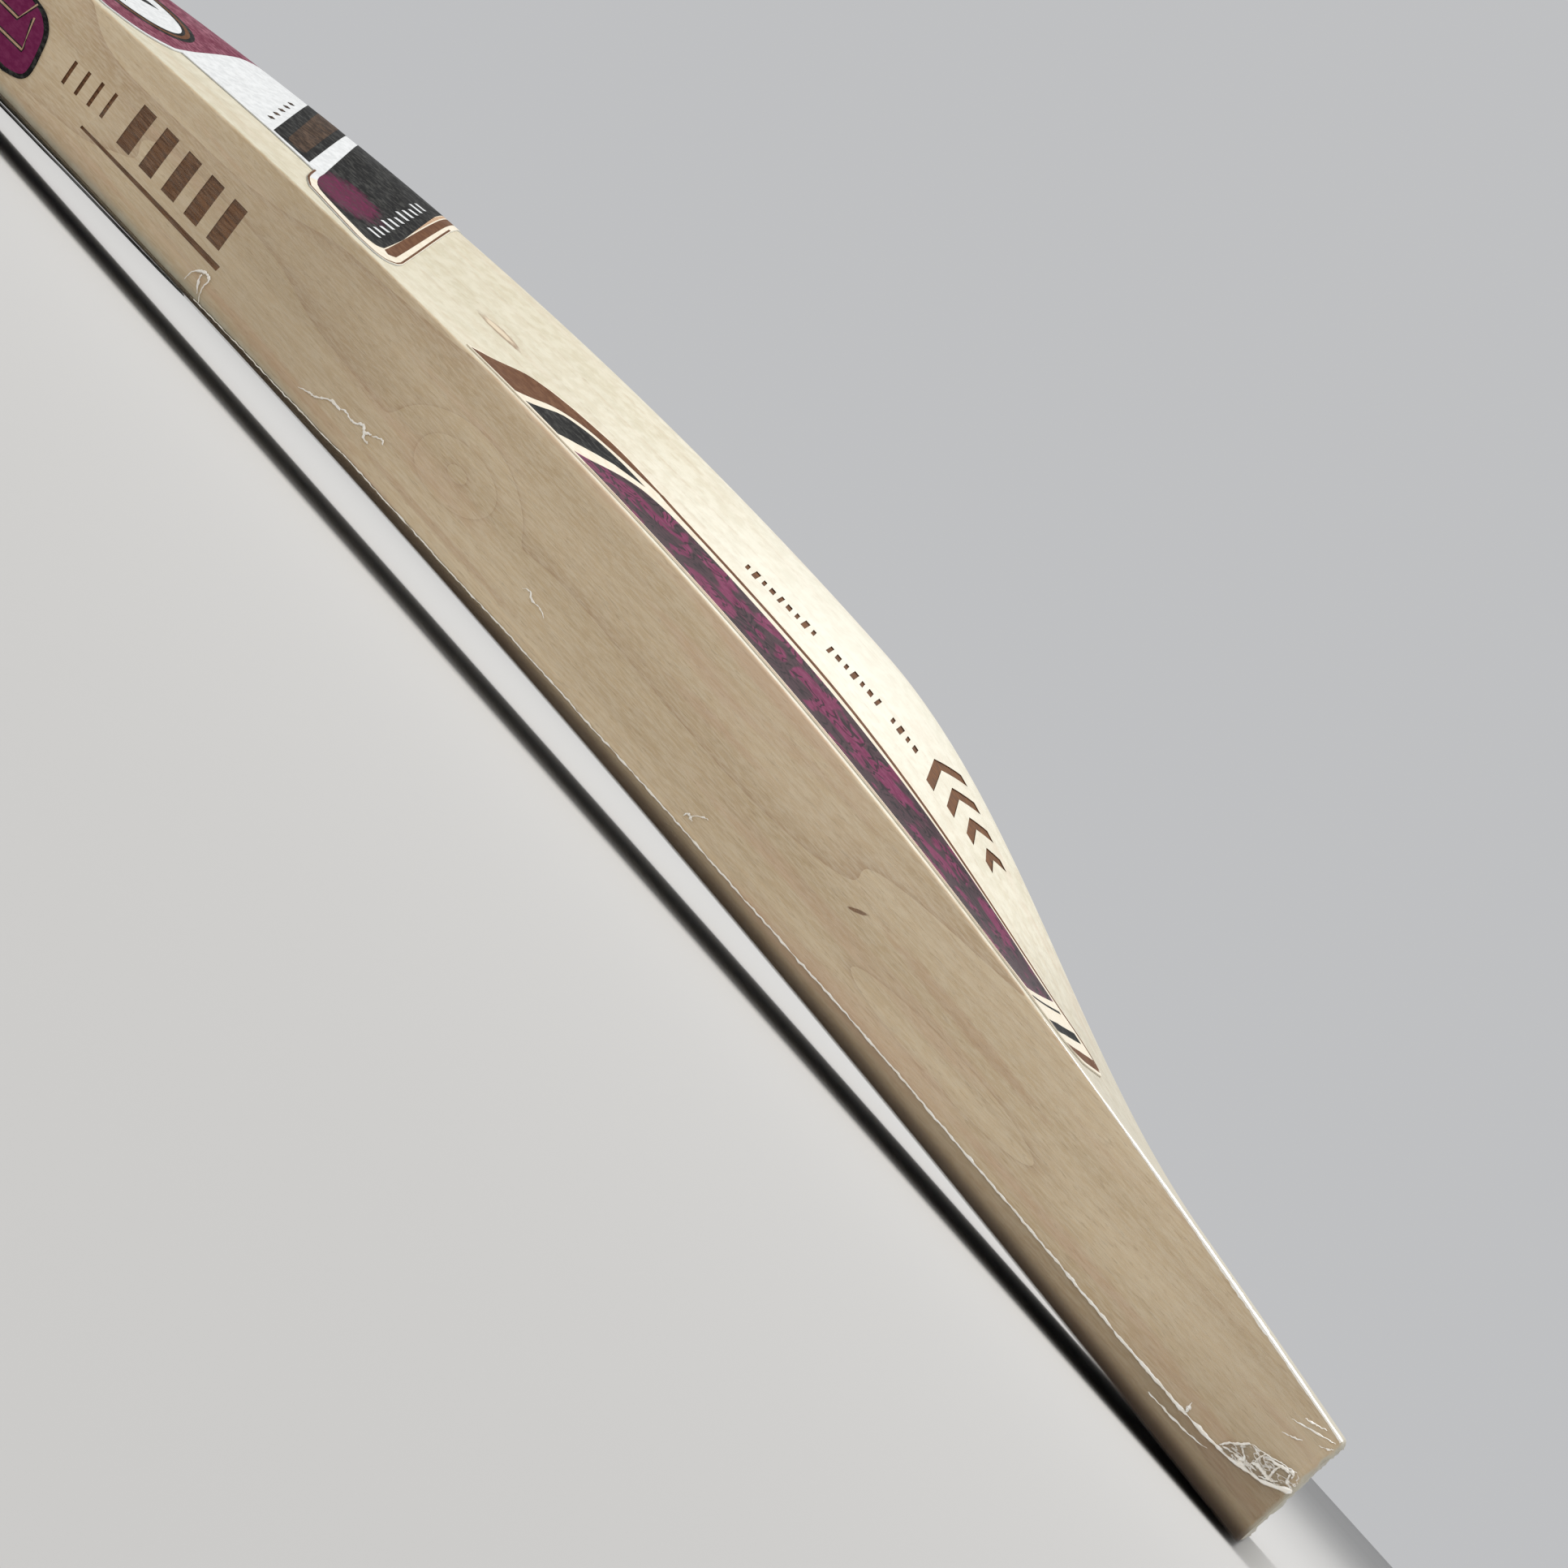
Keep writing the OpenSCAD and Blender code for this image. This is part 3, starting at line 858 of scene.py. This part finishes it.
def engraving_outlines():
    """Plain ornament: bars over a rule on the edge, and a row of small bars
    leading to a stack of chevrons on the back."""
    marks = []
    for k in range(4):
        marks.append((bar(408 - 4.6 * k, 12.5 + 0.3 * k, 18.5 + 0.5 * k, 1.1, 1.6), on_edge(-1)))
    for k in range(5):
        marks.append((bar(384 - 8.6 * k, 12.0, 23.0, 4.8, 2.4), on_edge(-1)))
    rule = [(396, 9.0), (344, 9.8), (344, 8.4), (396, 8.3)]
    marks.append((rule, on_edge(-1)))
    for k in range(22):
        t = 218 - 2.6 * k
        y = between(26.4, 21.6, k / 21)
        tall = 0.9 + 0.45 * (k % 3 == 1)
        if k not in (9, 17):
            marks.append((bar(t, y - tall, y + tall, 1.0 + 0.5 * (k % 2), -0.7), on_back(-1)))
    for k in range(4):
        marks.append((chevron(160 - 7.4 * k, 17.0, 4.5 - 0.5 * k, 7.8 - 1.3 * k, 3.0), on_back(-1)))
    return marks


def cut(obj, cutters):
    """Cuts the cutters out of obj; the cut faces keep the cutters' materials."""
    for cutter in cutters:
        modifier = obj.modifiers.new("cut", "BOOLEAN")
        modifier.operation = "DIFFERENCE"
        modifier.solver = "EXACT"
        modifier.object = cutter
    shape = bpy.data.meshes.new_from_object(obj.evaluated_get(bpy.context.evaluated_depsgraph_get()))
    obj.modifiers.clear()
    obj.data = shape
    shape.name = obj.name
    shape.set_sharp_from_angle(angle=math.radians(35))
    for cutter in cutters:
        bpy.data.objects.remove(cutter)


blade = blade_blank()
engraver = plates(
    "engraver",
    [(outline, where, -0.25, 0.3, 1) for outline, where in engraving_outlines()],
    [WILLOW, BURNT],
)
cut(blade, [joint_cutter(), engraver])
keep(blade, "willow", "blade")


# ------------------------------------------------------------------ handle

for name, obj in frame["nodes"].items():
    if name.startswith(("cane_", "spring_")):
        obj.data.materials.clear()
        obj.data.materials.append(CANE if name.startswith("cane_") else SPRING)


def cane_radius(h):
    return between(FLARE_R, CANE_R, min(1, h / FLARE_L))


BINDING_FROM = 6.0
COLLAR_FROM = 12.0
GRIP_FROM = 24.0
THREAD_PITCH = 0.95


def winding(angle, h):
    """Depth between the turns of one thread wound round the handle."""
    turn = math.pi * (h / THREAD_PITCH + angle / (2 * math.pi))
    return 0.32 * (1 - abs(math.sin(turn))) + 0.04


def binding_profile():
    shown = steps(BINDING_FROM + 0.4, GRIP_FROM + 3, THREAD_PITCH / 6)
    outer = [(cane_radius(h) + TWINE, h, 1.0) for h in shown]
    outer += [(CANE_R + TWINE, FLARE_L, 0), (CANE_R + TWINE, CANE_L, 0)]
    inner = [(CANE_R, CANE_L, 0), (CANE_R, FLARE_L, 0), (cane_radius(BINDING_FROM), BINDING_FROM, 0)]
    return [(cane_radius(BINDING_FROM) + TWINE * 0.6, BINDING_FROM, 0)] + outer + inner


def grip_relief(angle, h):
    """Chevron ribs moulded into the rubber, fading to a plain top and foot."""
    zig = abs((angle / (2 * math.pi) * 6) % 1 - 0.5) * 2
    phase = (h + 7.0 * zig) / 5.2 % 1
    groove = smooth(clamp(1 - abs(phase - 0.5) / 0.24))
    fade = clamp((h - GRIP_FROM - 8) / 4) * clamp((CANE_L - 10 - h) / 4)
    return 0.85 * groove * fade


def grip_profile():
    top = CANE_L + LIP
    foot_r = cane_radius(GRIP_FROM) + TWINE
    outer = [(GRIP_R - 1.0, GRIP_FROM, 0), (GRIP_R - 0.3, GRIP_FROM + 0.3, 0), (GRIP_R, GRIP_FROM + 1, 0)]
    outer += [(GRIP_R, GRIP_FROM + 5, 0), (GRIP_R - 0.35, GRIP_FROM + 5.5, 0)]
    outer += [(GRIP_R - 0.35, GRIP_FROM + 6.5, 0)]
    outer += [(GRIP_R, h, 1.0) for h in steps(GRIP_FROM + 7, CANE_L - 8, 0.8)]
    outer += [(GRIP_R, CANE_L - 6, 0), (GRIP_R, top - 1.2, 0), (GRIP_R - 0.35, top - 0.35, 0)]
    outer += [(GRIP_R - 1.2, top, 0), (LIP_HOLE_R + 0.6, top, 0), (LIP_HOLE_R + 0.1, top - 0.3, 0)]
    inner = [(LIP_HOLE_R, CANE_L, 0), (CANE_R + TWINE, CANE_L, 0)]
    inner += [(CANE_R + TWINE, FLARE_L, 0), (foot_r, GRIP_FROM, 0)]
    return outer + inner


def collar_relief(angle, h):
    """The tape's free end makes one small step along the ring."""
    lap = (angle / (2 * math.pi) + 0.02 * (h - COLLAR_FROM)) % 1
    return -0.16 * clamp((0.16 - lap) / 0.012) * clamp(lap / 0.004)


def collar_profile():
    lift = TWINE + 0.02
    hs = steps(COLLAR_FROM, GRIP_FROM - 0.1, 1.0)
    under = [(cane_radius(h) + lift, h, 0) for h in hs]
    over = [(cane_radius(h) + lift + 0.4, h, 1.0) for h in reversed(hs)]
    return over + under


keep(lathe("twine_binding", binding_profile(), 120, [TWINE_THREAD], winding), "twine", "twine_binding")
keep(lathe("rubber_grip", grip_profile(), 150, [GRIP], grip_relief), "grip_rubber", "rubber_grip")
keep(lathe("collar_tape", collar_profile(), 240, [TAPE], collar_relief), "collar", "collar_tape")


# ------------------------------------------------------- sheets and films

SHEET_COLUMNS = 70


def wrap_height(t, side):
    """How far the face sheet reaches up an edge. It was laid on slightly askew,
    so it climbs towards the toe."""
    height = 7.4 - 0.0192 * t + 7.0 * math.exp(-max(t, 0) / 8)
    ragged = 0.16 * wobble(t, 3 + side, 6) + 0.22 * wobble(t, 5 + side, 31)
    ragged += 0.5 * wobble(t, 7 + side, 3) * clamp(1 - t / 26)
    return max(0.5, height + ragged)


def sheet_walks(t):
    row = []
    for k in range(SHEET_COLUMNS + 1):
        s = 2 * k / SHEET_COLUMNS - 1
        end = walk_at_height(t, wrap_height(t, math.copysign(1, s)))
        a = abs(s)
        w = a / 0.5 if a < 0.5 else 1 + (a - 0.5) / 0.5 * (end - 1)
        row.append(math.copysign(max(w, 1e-4), s))
    return row


def looseness(t):
    """1 at the toe, where the sheet has come away, 0 where it still holds."""
    return clamp(1 - (t - 3) / 16)


def sheet_lift(t, j, n):
    """Near the toe the sheet has come away from the edge and crumpled."""
    rim = min(j, n - 1 - j)
    side = 1 if j < n / 2 else 2
    fold = 0.35 + 0.45 * noise.noise(Vector((t * 0.5, j * 0.45, side * 4.0)))
    under = GLUE + max(0.0, looseness(t) * clamp(1 - rim / 9) * fold)
    thick = SHEET * (0.35 if rim == 0 else 1.0)
    return under, under + thick


sheet_steps = steps(0.6, 3, 0.6) + steps(3, LABEL_TOP + 1, 2.0)[1:]
face_sheet = shell("face_sheet", sheet_steps, sheet_walks, sheet_lift, CLEAR_SHEET)
keep(face_sheet, "clear_sheet", "face_sheet")


def film_maker(side):
    low, high = 2.0, 2.94

    def walks(t):
        start = max(low, walk_at_height(t, wrap_height(t, side) + 0.35))
        return [side * between(start, high, k / 24) for k in range(25)]

    def lift(t, j, n):
        # wrinkles run mostly across the film and gather near the sheet's line
        near = clamp(1 - j / 9)
        fold = max(0.0, noise.noise(Vector((t * 0.16, j * 0.3, 2.0 * side))) - 0.28)
        corner = clamp(1 - t / 22) * clamp((j - 14) / 6)
        rays = max(0.0, math.sin(j * 2.4 - t * 0.55)) * corner
        height = 0.55 * fold * near + 0.1 * rays
        return GLUE + height, GLUE + height + FILM

    return walks, lift


for side, word in ((-1, "left"), (1, "right")):
    walks, lift = film_maker(side)
    film = shell("edge_film_" + word, steps(2.5, 395, 1.5), walks, lift, CLEAR_FILM)
    keep(film, "clear_film", "edge_film_" + word)


def sheet_bead(side):
    """The cut edge of the face sheet as a thin ragged line; its near-white finish is a painted highlight
    for the light the edge catches.
    """
    path = []
    for t in steps(0.8, 344, 0.6):
        lift = GLUE + SHEET * 0.7 + 0.35 * looseness(t)
        radius = level([(0, 0.36), (30, 0.3), (60, 0.23), (150, 0.17), (344, 0.11)], t)
        radius *= 1 + 1.1 * wobble(t, 21 + side, 3.0) + 0.8 * wobble(t, 31 + side, 1.1)
        height = wrap_height(t, side) + 0.22 * wobble(t, 61 + side, 1.3)
        path.append((edge_place(t, height, side, lift), max(0.05, radius)))
    return path


def corner_bead(side):
    """Film doubled over the back corner of the edge, brightest at the toe, where it is drawn thickest; its
    near-white finish is a painted highlight along the arris.
    """
    path = []
    for t in steps(1.2, 96, 0.8):
        radius = level([(1.2, 0.45), (30, 0.62), (60, 0.45), (96, 0.08)], t)
        radius *= 1 + 0.35 * wobble(t, 41 + side, 4.0) + 0.25 * wobble(t, 51 + side, 1.1)
        path.append((skin_point(t, side * 3.45, -0.5 * radius), max(0.04, radius)))
    return path


def thread(marks, radius, lift, seed):
    """Raised thread of film on the -Y edge through marks of (t, height above the face)."""
    path = []
    line = curve_through(marks, 9)
    for k, (t, h) in enumerate(line):
        taper = 0.25 + 0.75 * math.sin(math.pi * (k + 0.5) / len(line))
        r = radius * taper * (1 + 0.9 * wobble(k, seed, 3.1) + 0.6 * wobble(k, seed + 2, 1.3))
        bent_t = t + 0.2 * wobble(k, seed + 4, 2.3)
        bent_h = h + 0.24 * wobble(k, seed + 6, 2.1)
        path.append((edge_place(bent_t, bent_h, -1, lift + 0.15 * wobble(k, seed + 1, 3.0)), max(0.04, r)))
    return path


def torn_threads():
    """Creases and torn bits of film where the edge at -Y was knocked, drawn near white as a painted
    highlight on the creases.
    """
    toe = [
        ([(31, 4.4), (26.9, 4.7), (21, 5.2), (16.4, 6.3)], 0.2),
        ([(23.7, 7.5), (23.8, 8.3), (24.2, 9.6)], 0.3),
        ([(15.4, 8.7), (14.4, 10.4), (13, 11.8), (11.6, 13.6)], 0.24),
        ([(12.7, 11.9), (10.6, 10.7), (11.3, 9.7), (9.4, 9.9)], 0.3),
        ([(11.6, 13.6), (8.2, 14.6), (5, 15.9), (2.4, 16.9)], 0.13),
        ([(9.4, 10.1), (8.8, 11.7), (6.8, 12), (5.2, 11.9), (3.6, 13)], 0.36),
        ([(8.6, 14.5), (8.9, 13.1), (8.8, 11.7)], 0.24),
        ([(5.0, 15.6), (5.6, 13.8), (5.2, 11.9), (6.6, 10.9)], 0.26),
        ([(7.7, 14.2), (5.4, 15.2), (3, 16.1), (2.4, 15.4)], 0.3),
        ([(3.2, 15.6), (2.6, 14.4), (1.4, 13.9)], 0.3),
        ([(14.8, 9.0), (12.4, 9.9), (10.0, 10.4), (7.6, 11.1)], 0.3),
    ]
    wrinkles = [
        ([(8.6, 24.6), (6.2, 25.5), (4.4, 26.4)], 0.17),
        ([(10.2, 22.5), (5.6, 24.4), (1.6, 26.0)], 0.16),
        ([(9.6, 19.5), (7.8, 20.4), (6, 21.5)], 0.13),
        ([(3.4, 23.3), (2.0, 24.2), (1.2, 24.9)], 0.15),
    ]
    flakes = [
        ([(308.4, 4.6), (305.6, 5.4), (303.9, 5.8), (301.4, 7.2)], 0.22),
        ([(302.8, 6.6), (300.2, 7.9), (297.2, 7.9)], 0.28),
        ([(298.2, 7.8), (296.0, 8.6), (293.6, 8.2), (291.4, 8.7)], 0.22),
        ([(292.4, 8.3), (290.8, 9.5), (289.2, 8.7), (287.6, 9.4)], 0.4),
        ([(289.8, 8.9), (288.2, 7.6), (286.6, 7.4)], 0.32),
        ([(287.2, 9.3), (285.2, 10.3), (283.9, 9.8)], 0.22),
        ([(237.0, 11.6), (235.4, 12.4), (233.6, 11.5), (231.0, 11.6), (228.6, 10.8)], 0.2),
        ([(176.0, 5.9), (175.2, 6.9), (173.8, 6.4)], 0.28),
        ([(175.0, 6.6), (173.0, 8.6), (171.6, 9.2)], 0.14),
    ]
    curl = [
        ([(348.1, 2.4), (347.7, 4.4), (346.4, 5.9), (344.6, 6.5),
          (343.1, 5.8), (343.0, 3.6), (342.1, 0.8)], 0.27),
        ([(345.6, 5.6), (344.8, 4.0), (343.4, 2.2)], 0.22),
    ]
    paths = []
    for group, lift, seed in ((toe, 0.45, 3), (wrinkles, 0.22, 33), (flakes, 0.3, 63), (curl, 0.5, 93)):
        paths += [thread(marks, r, lift, seed + k) for k, (marks, r) in enumerate(group)]
    return paths


def crumple():
    """Loose patch of film between the sheet's line and the torn threads at the toe."""
    top = [(0.6, 16.6), (2.4, 16.7), (5, 15.8), (8.2, 14.5), (11.6, 13.4), (13, 11.7), (14.4, 10.2)]
    columns = 18

    def walks(t):
        low = wrap_height(t, -1) - 0.3
        high = max(low + 0.3, level(top, t))
        return [-walk_at_height(t, between(low, high, k / columns)) for k in range(columns + 1)]

    def lift(t, j, n):
        inside = clamp(min(j, n - 1 - j) / 3)
        fold = 1 - 2.4 * abs(noise.noise(Vector((t * 0.42, j * 0.26, 8.0))))
        height = GLUE + FILM + 0.12 + 0.55 * inside * max(0.0, fold)
        return height, height + 0.06

    return shell("film_crumple", steps(0.6, 14.4, 0.35), walks, lift, CRUMPLED)


# the strands below are drawn in near-white film: a painted highlight along the film's cut edges, creases
# and the back corner
keep(strand([sheet_bead(-1), sheet_bead(1)], "sheet_edge", [FILM_HIGHLIGHT]), "clear_sheet")
keep(strand([corner_bead(-1), corner_bead(1)], "film_corner", [FILM_HIGHLIGHT]), "clear_film")
keep(strand(torn_threads(), "torn_film", [FILM_HIGHLIGHT]), "clear_film")
keep(crumple(), "clear_film")


# ------------------------------------------------------------------ labels

def base_plate(outline, where, slot=WHITE_NO, lift=GLUE):
    return outline, where, lift, lift + LABEL, slot


def ink(outline, where, slot, layer=1, lift=GLUE):
    low = lift + LABEL + (layer - 1) * INK
    return outline, where, low, low + INK, slot


def ribbon(line, wide):
    """Closed outline round an open line of (t, y), wide to its left."""
    far = []
    for k, (t, y) in enumerate(line):
        (t0, y0), (t1, y1) = line[max(k - 1, 0)], line[min(k + 1, len(line) - 1)]
        long = math.hypot(t1 - t0, y1 - y0)
        far.append((t - wide * (y1 - y0) / long, y + wide * (t1 - t0) / long))
    return line + far[::-1]


def upper_label_half(where):
    """One slope of the upper back label. Points are (t, distance from the spine)."""
    shoulder = 49.0
    top = LABEL_TOP
    foot = [(342.6, 0), (337.4, 11.3), (321.0, 41.6)]
    foot += curve_through([(320.3, 44.0), (320.9, 47.6), (323.6, 49.6), (329.4, 49.8)], 3)
    foot += curve_through([(349.6, 45.6), (354.4, 41.6), (358.2, 36.0)], 3)
    base = foot + [(374.5, 35.4), (406.5, 35.4)]
    base += curve_through([(407.0, 38.0), (412.0, 44.5), (420.0, shoulder)], 4)
    base += [(top, shoulder), (top, 0)]
    border = ribbon([(t + 0.3, y - 0.2) for t, y in foot[1:]], -0.5)

    end_stripe = [(344.6, 0), (339.2, 11.4), (323.6, 41.4), (324.2, 43.6), (326.2, 42.8)]
    end_stripe += [(327.2, 40.6), (341.6, 11.6), (347.0, 0)]
    tan_line = [(347.4, 0), (342.0, 11.6), (327.0, 41.8), (327.6, 42.6), (343.0, 11.6), (348.2, 0)]
    panel = [(348.6, 0), (343.4, 11.0), (331.6, 31.8)]
    panel += curve_through([(326.8, 42.4), (327.4, 44.6), (330.0, 45.7)], 3)
    panel += curve_through([(339.5, 44.6), (349.0, 42.7), (354.0, 38.7), (356.9, 34.2)], 3)
    panel += [(373.4, 9.4), (379.4, 0)]
    band = [(383.6, 0), (377.4, 9.8), (361.6, 34.7), (374.6, 34.5), (391.8, 8.4), (397.4, 0)]
    inner = [(386.4, 0), (380.2, 9.6)]
    inner += curve_through([(365.6, 32.4), (366.6, 33.4), (370.6, 33.2), (372.2, 31.8)], 2)
    inner += [(388.4, 8.0), (393.6, 0)]
    crest = [(411.5, 0), (411.6, 13.0), (408.4, 30.0)]
    crest += curve_through([(407.8, 36.6), (412.4, 43.2), (420.4, 48.2)], 4)
    crest += [(top - 1.2, 48.2), (top - 1.2, 0)]

    shapes = [
        base_plate(base, where),
        ink(foot[:-3] + [(352.0, 36.0), (347.0, 20.0), (349.0, 0)], where, CREAM_NO),
        ink(end_stripe, where, BROWN_NO, 2),
        ink(tan_line, where, TAN_NO, 2),
        ink(border, where, BROWN_NO, 2),
        ink(panel, where, CHARCOAL_NO, 3),
        ink(band, where, CHARCOAL_NO, 2),
        ink(inner, where, UMBER_NO, 3),
        ink(crest, where, CREST_NO),
    ]
    # a plain row of ticks beside the end stripe, and a few small marks on the white
    for k in range(11):
        t, y = between(331.4, 345.2, k / 10), between(39.4, 12.8, k / 10)
        long = 3.6 - 0.6 * (k % 3)
        tick = [(t, y - 0.45), (t, y + 0.45), (t + long, y + 0.95), (t + long, y + 0.05)]
        shapes.append(ink(tick, where, WHITE_NO, 4))
    for k in range(5):
        t, y = between(379.0, 388.0, k / 4), between(30.0, 16.0, k / 4)
        shapes.append(ink(bar(t + 1.6, y - 0.6, y + 0.6, 1.2, 0.2), where, UMBER_NO, 4))
    return shapes + badge(where, 438.0, 29.0, 25.0, 11.5)


def oval(t, y, long, tall, parts=48):
    return [
        (t + long * math.cos(2 * math.pi * k / parts), y + tall * math.sin(2 * math.pi * k / parts))
        for k in range(parts)
    ]


def badge(where, t, y, long, tall):
    """Plain oval badge: rings round a white field with two chevrons."""
    shapes = [
        ink(oval(t, y, long, tall), where, CHARCOAL_NO, 2),
        ink(oval(t, y, long - 1.4, tall - 1.0), where, BROWN_NO, 3),
        ink(oval(t, y, long - 2.8, tall - 2.0), where, CHARCOAL_NO, 4),
        ink(oval(t, y, long - 3.8, tall - 2.8), where, WHITE_NO, 5),
    ]
    for shift in (2.0, 12.0):
        shapes.append(ink(chevron(t + shift, y, 7, 5.2, 4), where, CHARCOAL_NO, 6))
    return shapes


def lower_label(where):
    """Long tapered label beside the edge corner. Points are (t, distance from the spine)."""
    seam = [(85.4, 26.0), (88.6, 25.2), (94.0, 26.4), (100.4, 28.6), (108.0, 29.8), (122.0, 31.0)]
    seam += [(148.0, 32.0), (176.0, 32.6), (228.0, 32.6), (241.0, 32.2)]
    flame_top = [(254.9, 32.2), (263.4, 33.0), (271.4, 34.2), (278.1, 36.0), (283.2, 39.0), (288.0, 47.6)]
    rim = curve_through([(t, y - 0.5) for t, y in seam + flame_top[:-1]], 3)
    base = [(84.0, 28.0)] + rim + [(289.0, 47.6), (290.0, 51.4), (200.0, 51.8), (100.0, 51.8), (91.0, 51.4)]
    base += [(86.0, 44.0)]

    flame_low = [(274.4, 50.4), (273.4, 46.0), (271.0, 40.0), (264.9, 36.2), (255.8, 34.4), (248.0, 33.6)]
    flame = curve_through([(241.0, 32.4)] + flame_top, 4)
    flame += [(289.0, 50.8)] + curve_through(flame_low + [(241.0, 33.0)], 4)
    leaf_top = [(271.0, 50.2), (268.8, 40.6), (264.1, 37.4), (258.4, 35.9), (251.4, 35.2), (244.0, 35.2)]
    leaf = curve_through(leaf_top, 4)
    leaf += curve_through([(251.4, 38.2), (255.6, 42.0), (259.0, 47.0), (260.0, 50.2)], 4)
    band_top = [(254.4, 50.4), (250.1, 42.4), (245.5, 38.2), (239.5, 36.2), (226.0, 35.2), (176.0, 34.8)]
    band_top += [(148.0, 33.8), (122.0, 32.6), (108.0, 32.0), (101.2, 31.0)]
    band = curve_through(band_top, 4) + [(103.6, 48.4), (112.0, 50.2), (180.0, 50.4)]
    corner_line = [(250.0, 51.0), (180.0, 51.0), (100.0, 50.9), (100.0, 51.4), (180.0, 51.5), (250.0, 51.5)]
    line = [(98.2, 31.2), (98.9, 31.2), (101.8, 48.8), (101.1, 48.8)]
    first = [(91.4, 29.0), (93.9, 29.4), (95.6, 42.2), (95.6, 50.6), (92.8, 50.6), (92.8, 42.0)]
    second = [(84.9, 27.0), (87.8, 26.6), (89.3, 37.5), (90.2, 48.8), (88.4, 47.0), (86.5, 39.8)]
    return [
        base_plate(base, where, CREAM_NO),
        ink(ribbon(curve_through(seam, 5), 0.95), where, BROWN_NO),
        ink(flame, where, BROWN_NO, 2),
        ink(leaf, where, CHARCOAL_NO),
        ink(band, where, MAROON_NO),
        ink(corner_line, where, TAN_NO),
        ink(line, where, CHARCOAL_NO),
        ink(first, where, CHARCOAL_NO),
        ink(second, where, BROWN_NO),
    ]


def edge_label(where):
    """Label high on an edge, its end cut on a slant. Points are (t, height above the face)."""
    top = LABEL_TOP
    end = [(430.3, 22.2), (425.0, 21.3), (420.4, 18.3), (417.7, 13.7), (415.8, 8.5)]
    end += [(417.2, 5.8), (421.8, 4.4)]
    inner_end = [(430.3, 21.2), (425.6, 20.3), (421.4, 17.6), (418.8, 13.4), (417.0, 8.6)]
    inner_end += [(418.0, 6.6), (421.9, 5.5)]
    outer = curve_through(end, 4) + [(top, 4.4), (top, 22.2)]
    field = curve_through(inner_end, 4) + [(top - 1.2, 5.5), (top - 1.2, 21.2)]
    shapes = [base_plate(outer, where, CHARCOAL_NO), ink(field, where, PLUM_NO)]
    first = [(427.8, 21.1), (428.9, 15.2), (top - 3, 14.4)]
    second = [(425.6, 18.4), (421.6, 10.6), (top - 3, 8.8)]
    for line in (first, second):
        shapes.append(ink(ribbon(line, 1.1), where, CHARCOAL_NO, 2))
        shapes.append(ink(ribbon([(t + 0.3, h + 0.3) for t, h in line], 0.5), where, TAN_NO, 3))
    return shapes


def face_label(where):
    """Small printed panel on the face sheet. Points are (t, y)."""
    under = 2 * GLUE + SHEET
    panel = [(400, -27), (LABEL_TOP, -27), (LABEL_TOP, 27), (400, 27), (394, 20), (394, -20)]
    field = [(403, -25), (LABEL_TOP - 2, -25), (LABEL_TOP - 2, 25), (403, 25), (398, 19), (398, -19)]
    shapes = [base_plate(panel, where, WHITE_NO, under), ink(field, where, MAROON_NO, 1, under)]
    for k in range(3):
        t = 412 + 9 * k
        stripe = [(t, -25), (t + 4, -25), (t + 14, 0), (t + 4, 25), (t, 25), (t + 10, 0)]
        shapes.append(ink(stripe, where, BROWN_NO if k % 2 else WHITE_NO, 2, under))
    rings = ((30, 17, CHARCOAL_NO), (28, 15.4, BROWN_NO), (26, 13.8, WHITE_NO))
    for layer, (long, tall, slot) in enumerate(rings):
        shapes.append(ink(oval(466, 0, long, tall), where, slot, 3 + layer, under))
    return shapes


upper = upper_label_half(on_back(-1)) + upper_label_half(on_back(1))
keep(plates("back_label_upper", upper, PRINTS), "label_print", "back_label_upper")
for side, word in ((-1, "left"), (1, "right")):
    low = plates("back_label_lower_" + word, lower_label(on_back(side)), PRINTS)
    keep(low, "label_print", "back_label_lower_" + word)
    high = plates("edge_label_" + word, edge_label(on_edge(side)), PRINTS)
    keep(high, "label_print", "edge_label_" + word)


def on_face(t, y):
    return t, y / (half_width(t) - FACE_R)


keep(plates("face_label", face_label(on_face), PRINTS), "label_print", "face_label")


# ------------------------------------------- floor, light and the camera

def floor():
    size = 6000.0
    points = [(-size, -size, 0), (size, -size, 0), (size, size, 0), (-size, size, 0)]
    obj = new_object("studio_floor", points, [(0, 1, 2, 3)], [studio_floor()])


def soft_light(name, at, aim, size, power, tint):
    lamp = bpy.data.lights.new(name, "AREA")
    lamp.shape = "RECTANGLE"
    lamp.size, lamp.size_y = size
    lamp.energy = power
    lamp.color = tint
    obj = bpy.data.objects.new(name, lamp)
    obj.location = at
    obj.rotation_euler = (Vector(aim) - Vector(at)).to_track_quat("-Z", "Y").to_euler()
    bpy.context.scene.collection.objects.link(obj)


def world():
    sky = bpy.data.worlds.new("studio")
    sky.use_nodes = True
    background = sky.node_tree.nodes["Background"]
    background.inputs["Color"].default_value = (0.95, 0.96, 0.98, 1)
    background.inputs["Strength"].default_value = 0.55
    bpy.context.scene.world = sky


def camera():
    """Close to the toe end, level with the edge and rolled by about 48 degrees."""
    data = bpy.data.cameras.new("camera")
    data.lens = 61.94
    data.sensor_width = 36.0
    data.clip_start = 0.005
    obj = bpy.data.objects.new("camera", data)
    obj.location = (0.4259, -0.5706, 0.0208)
    obj.rotation_euler = tuple(math.radians(a) for a in (92.1, -47.785, 16.398))
    bpy.context.scene.collection.objects.link(obj)
    bpy.context.scene.camera = obj


floor()
soft_light("key", (0.22, 0.12, 1.05), (0.2, 0.0, 0.03), (0.9, 0.5), 11, (1.0, 0.985, 0.96))
soft_light("fill", (0.42, -1.25, 0.55), (0.24, 0.0, 0.03), (1.2, 0.6), 3, (1.0, 0.97, 0.93))
world()
camera()
bpy.context.scene.view_settings.view_transform = "Standard"
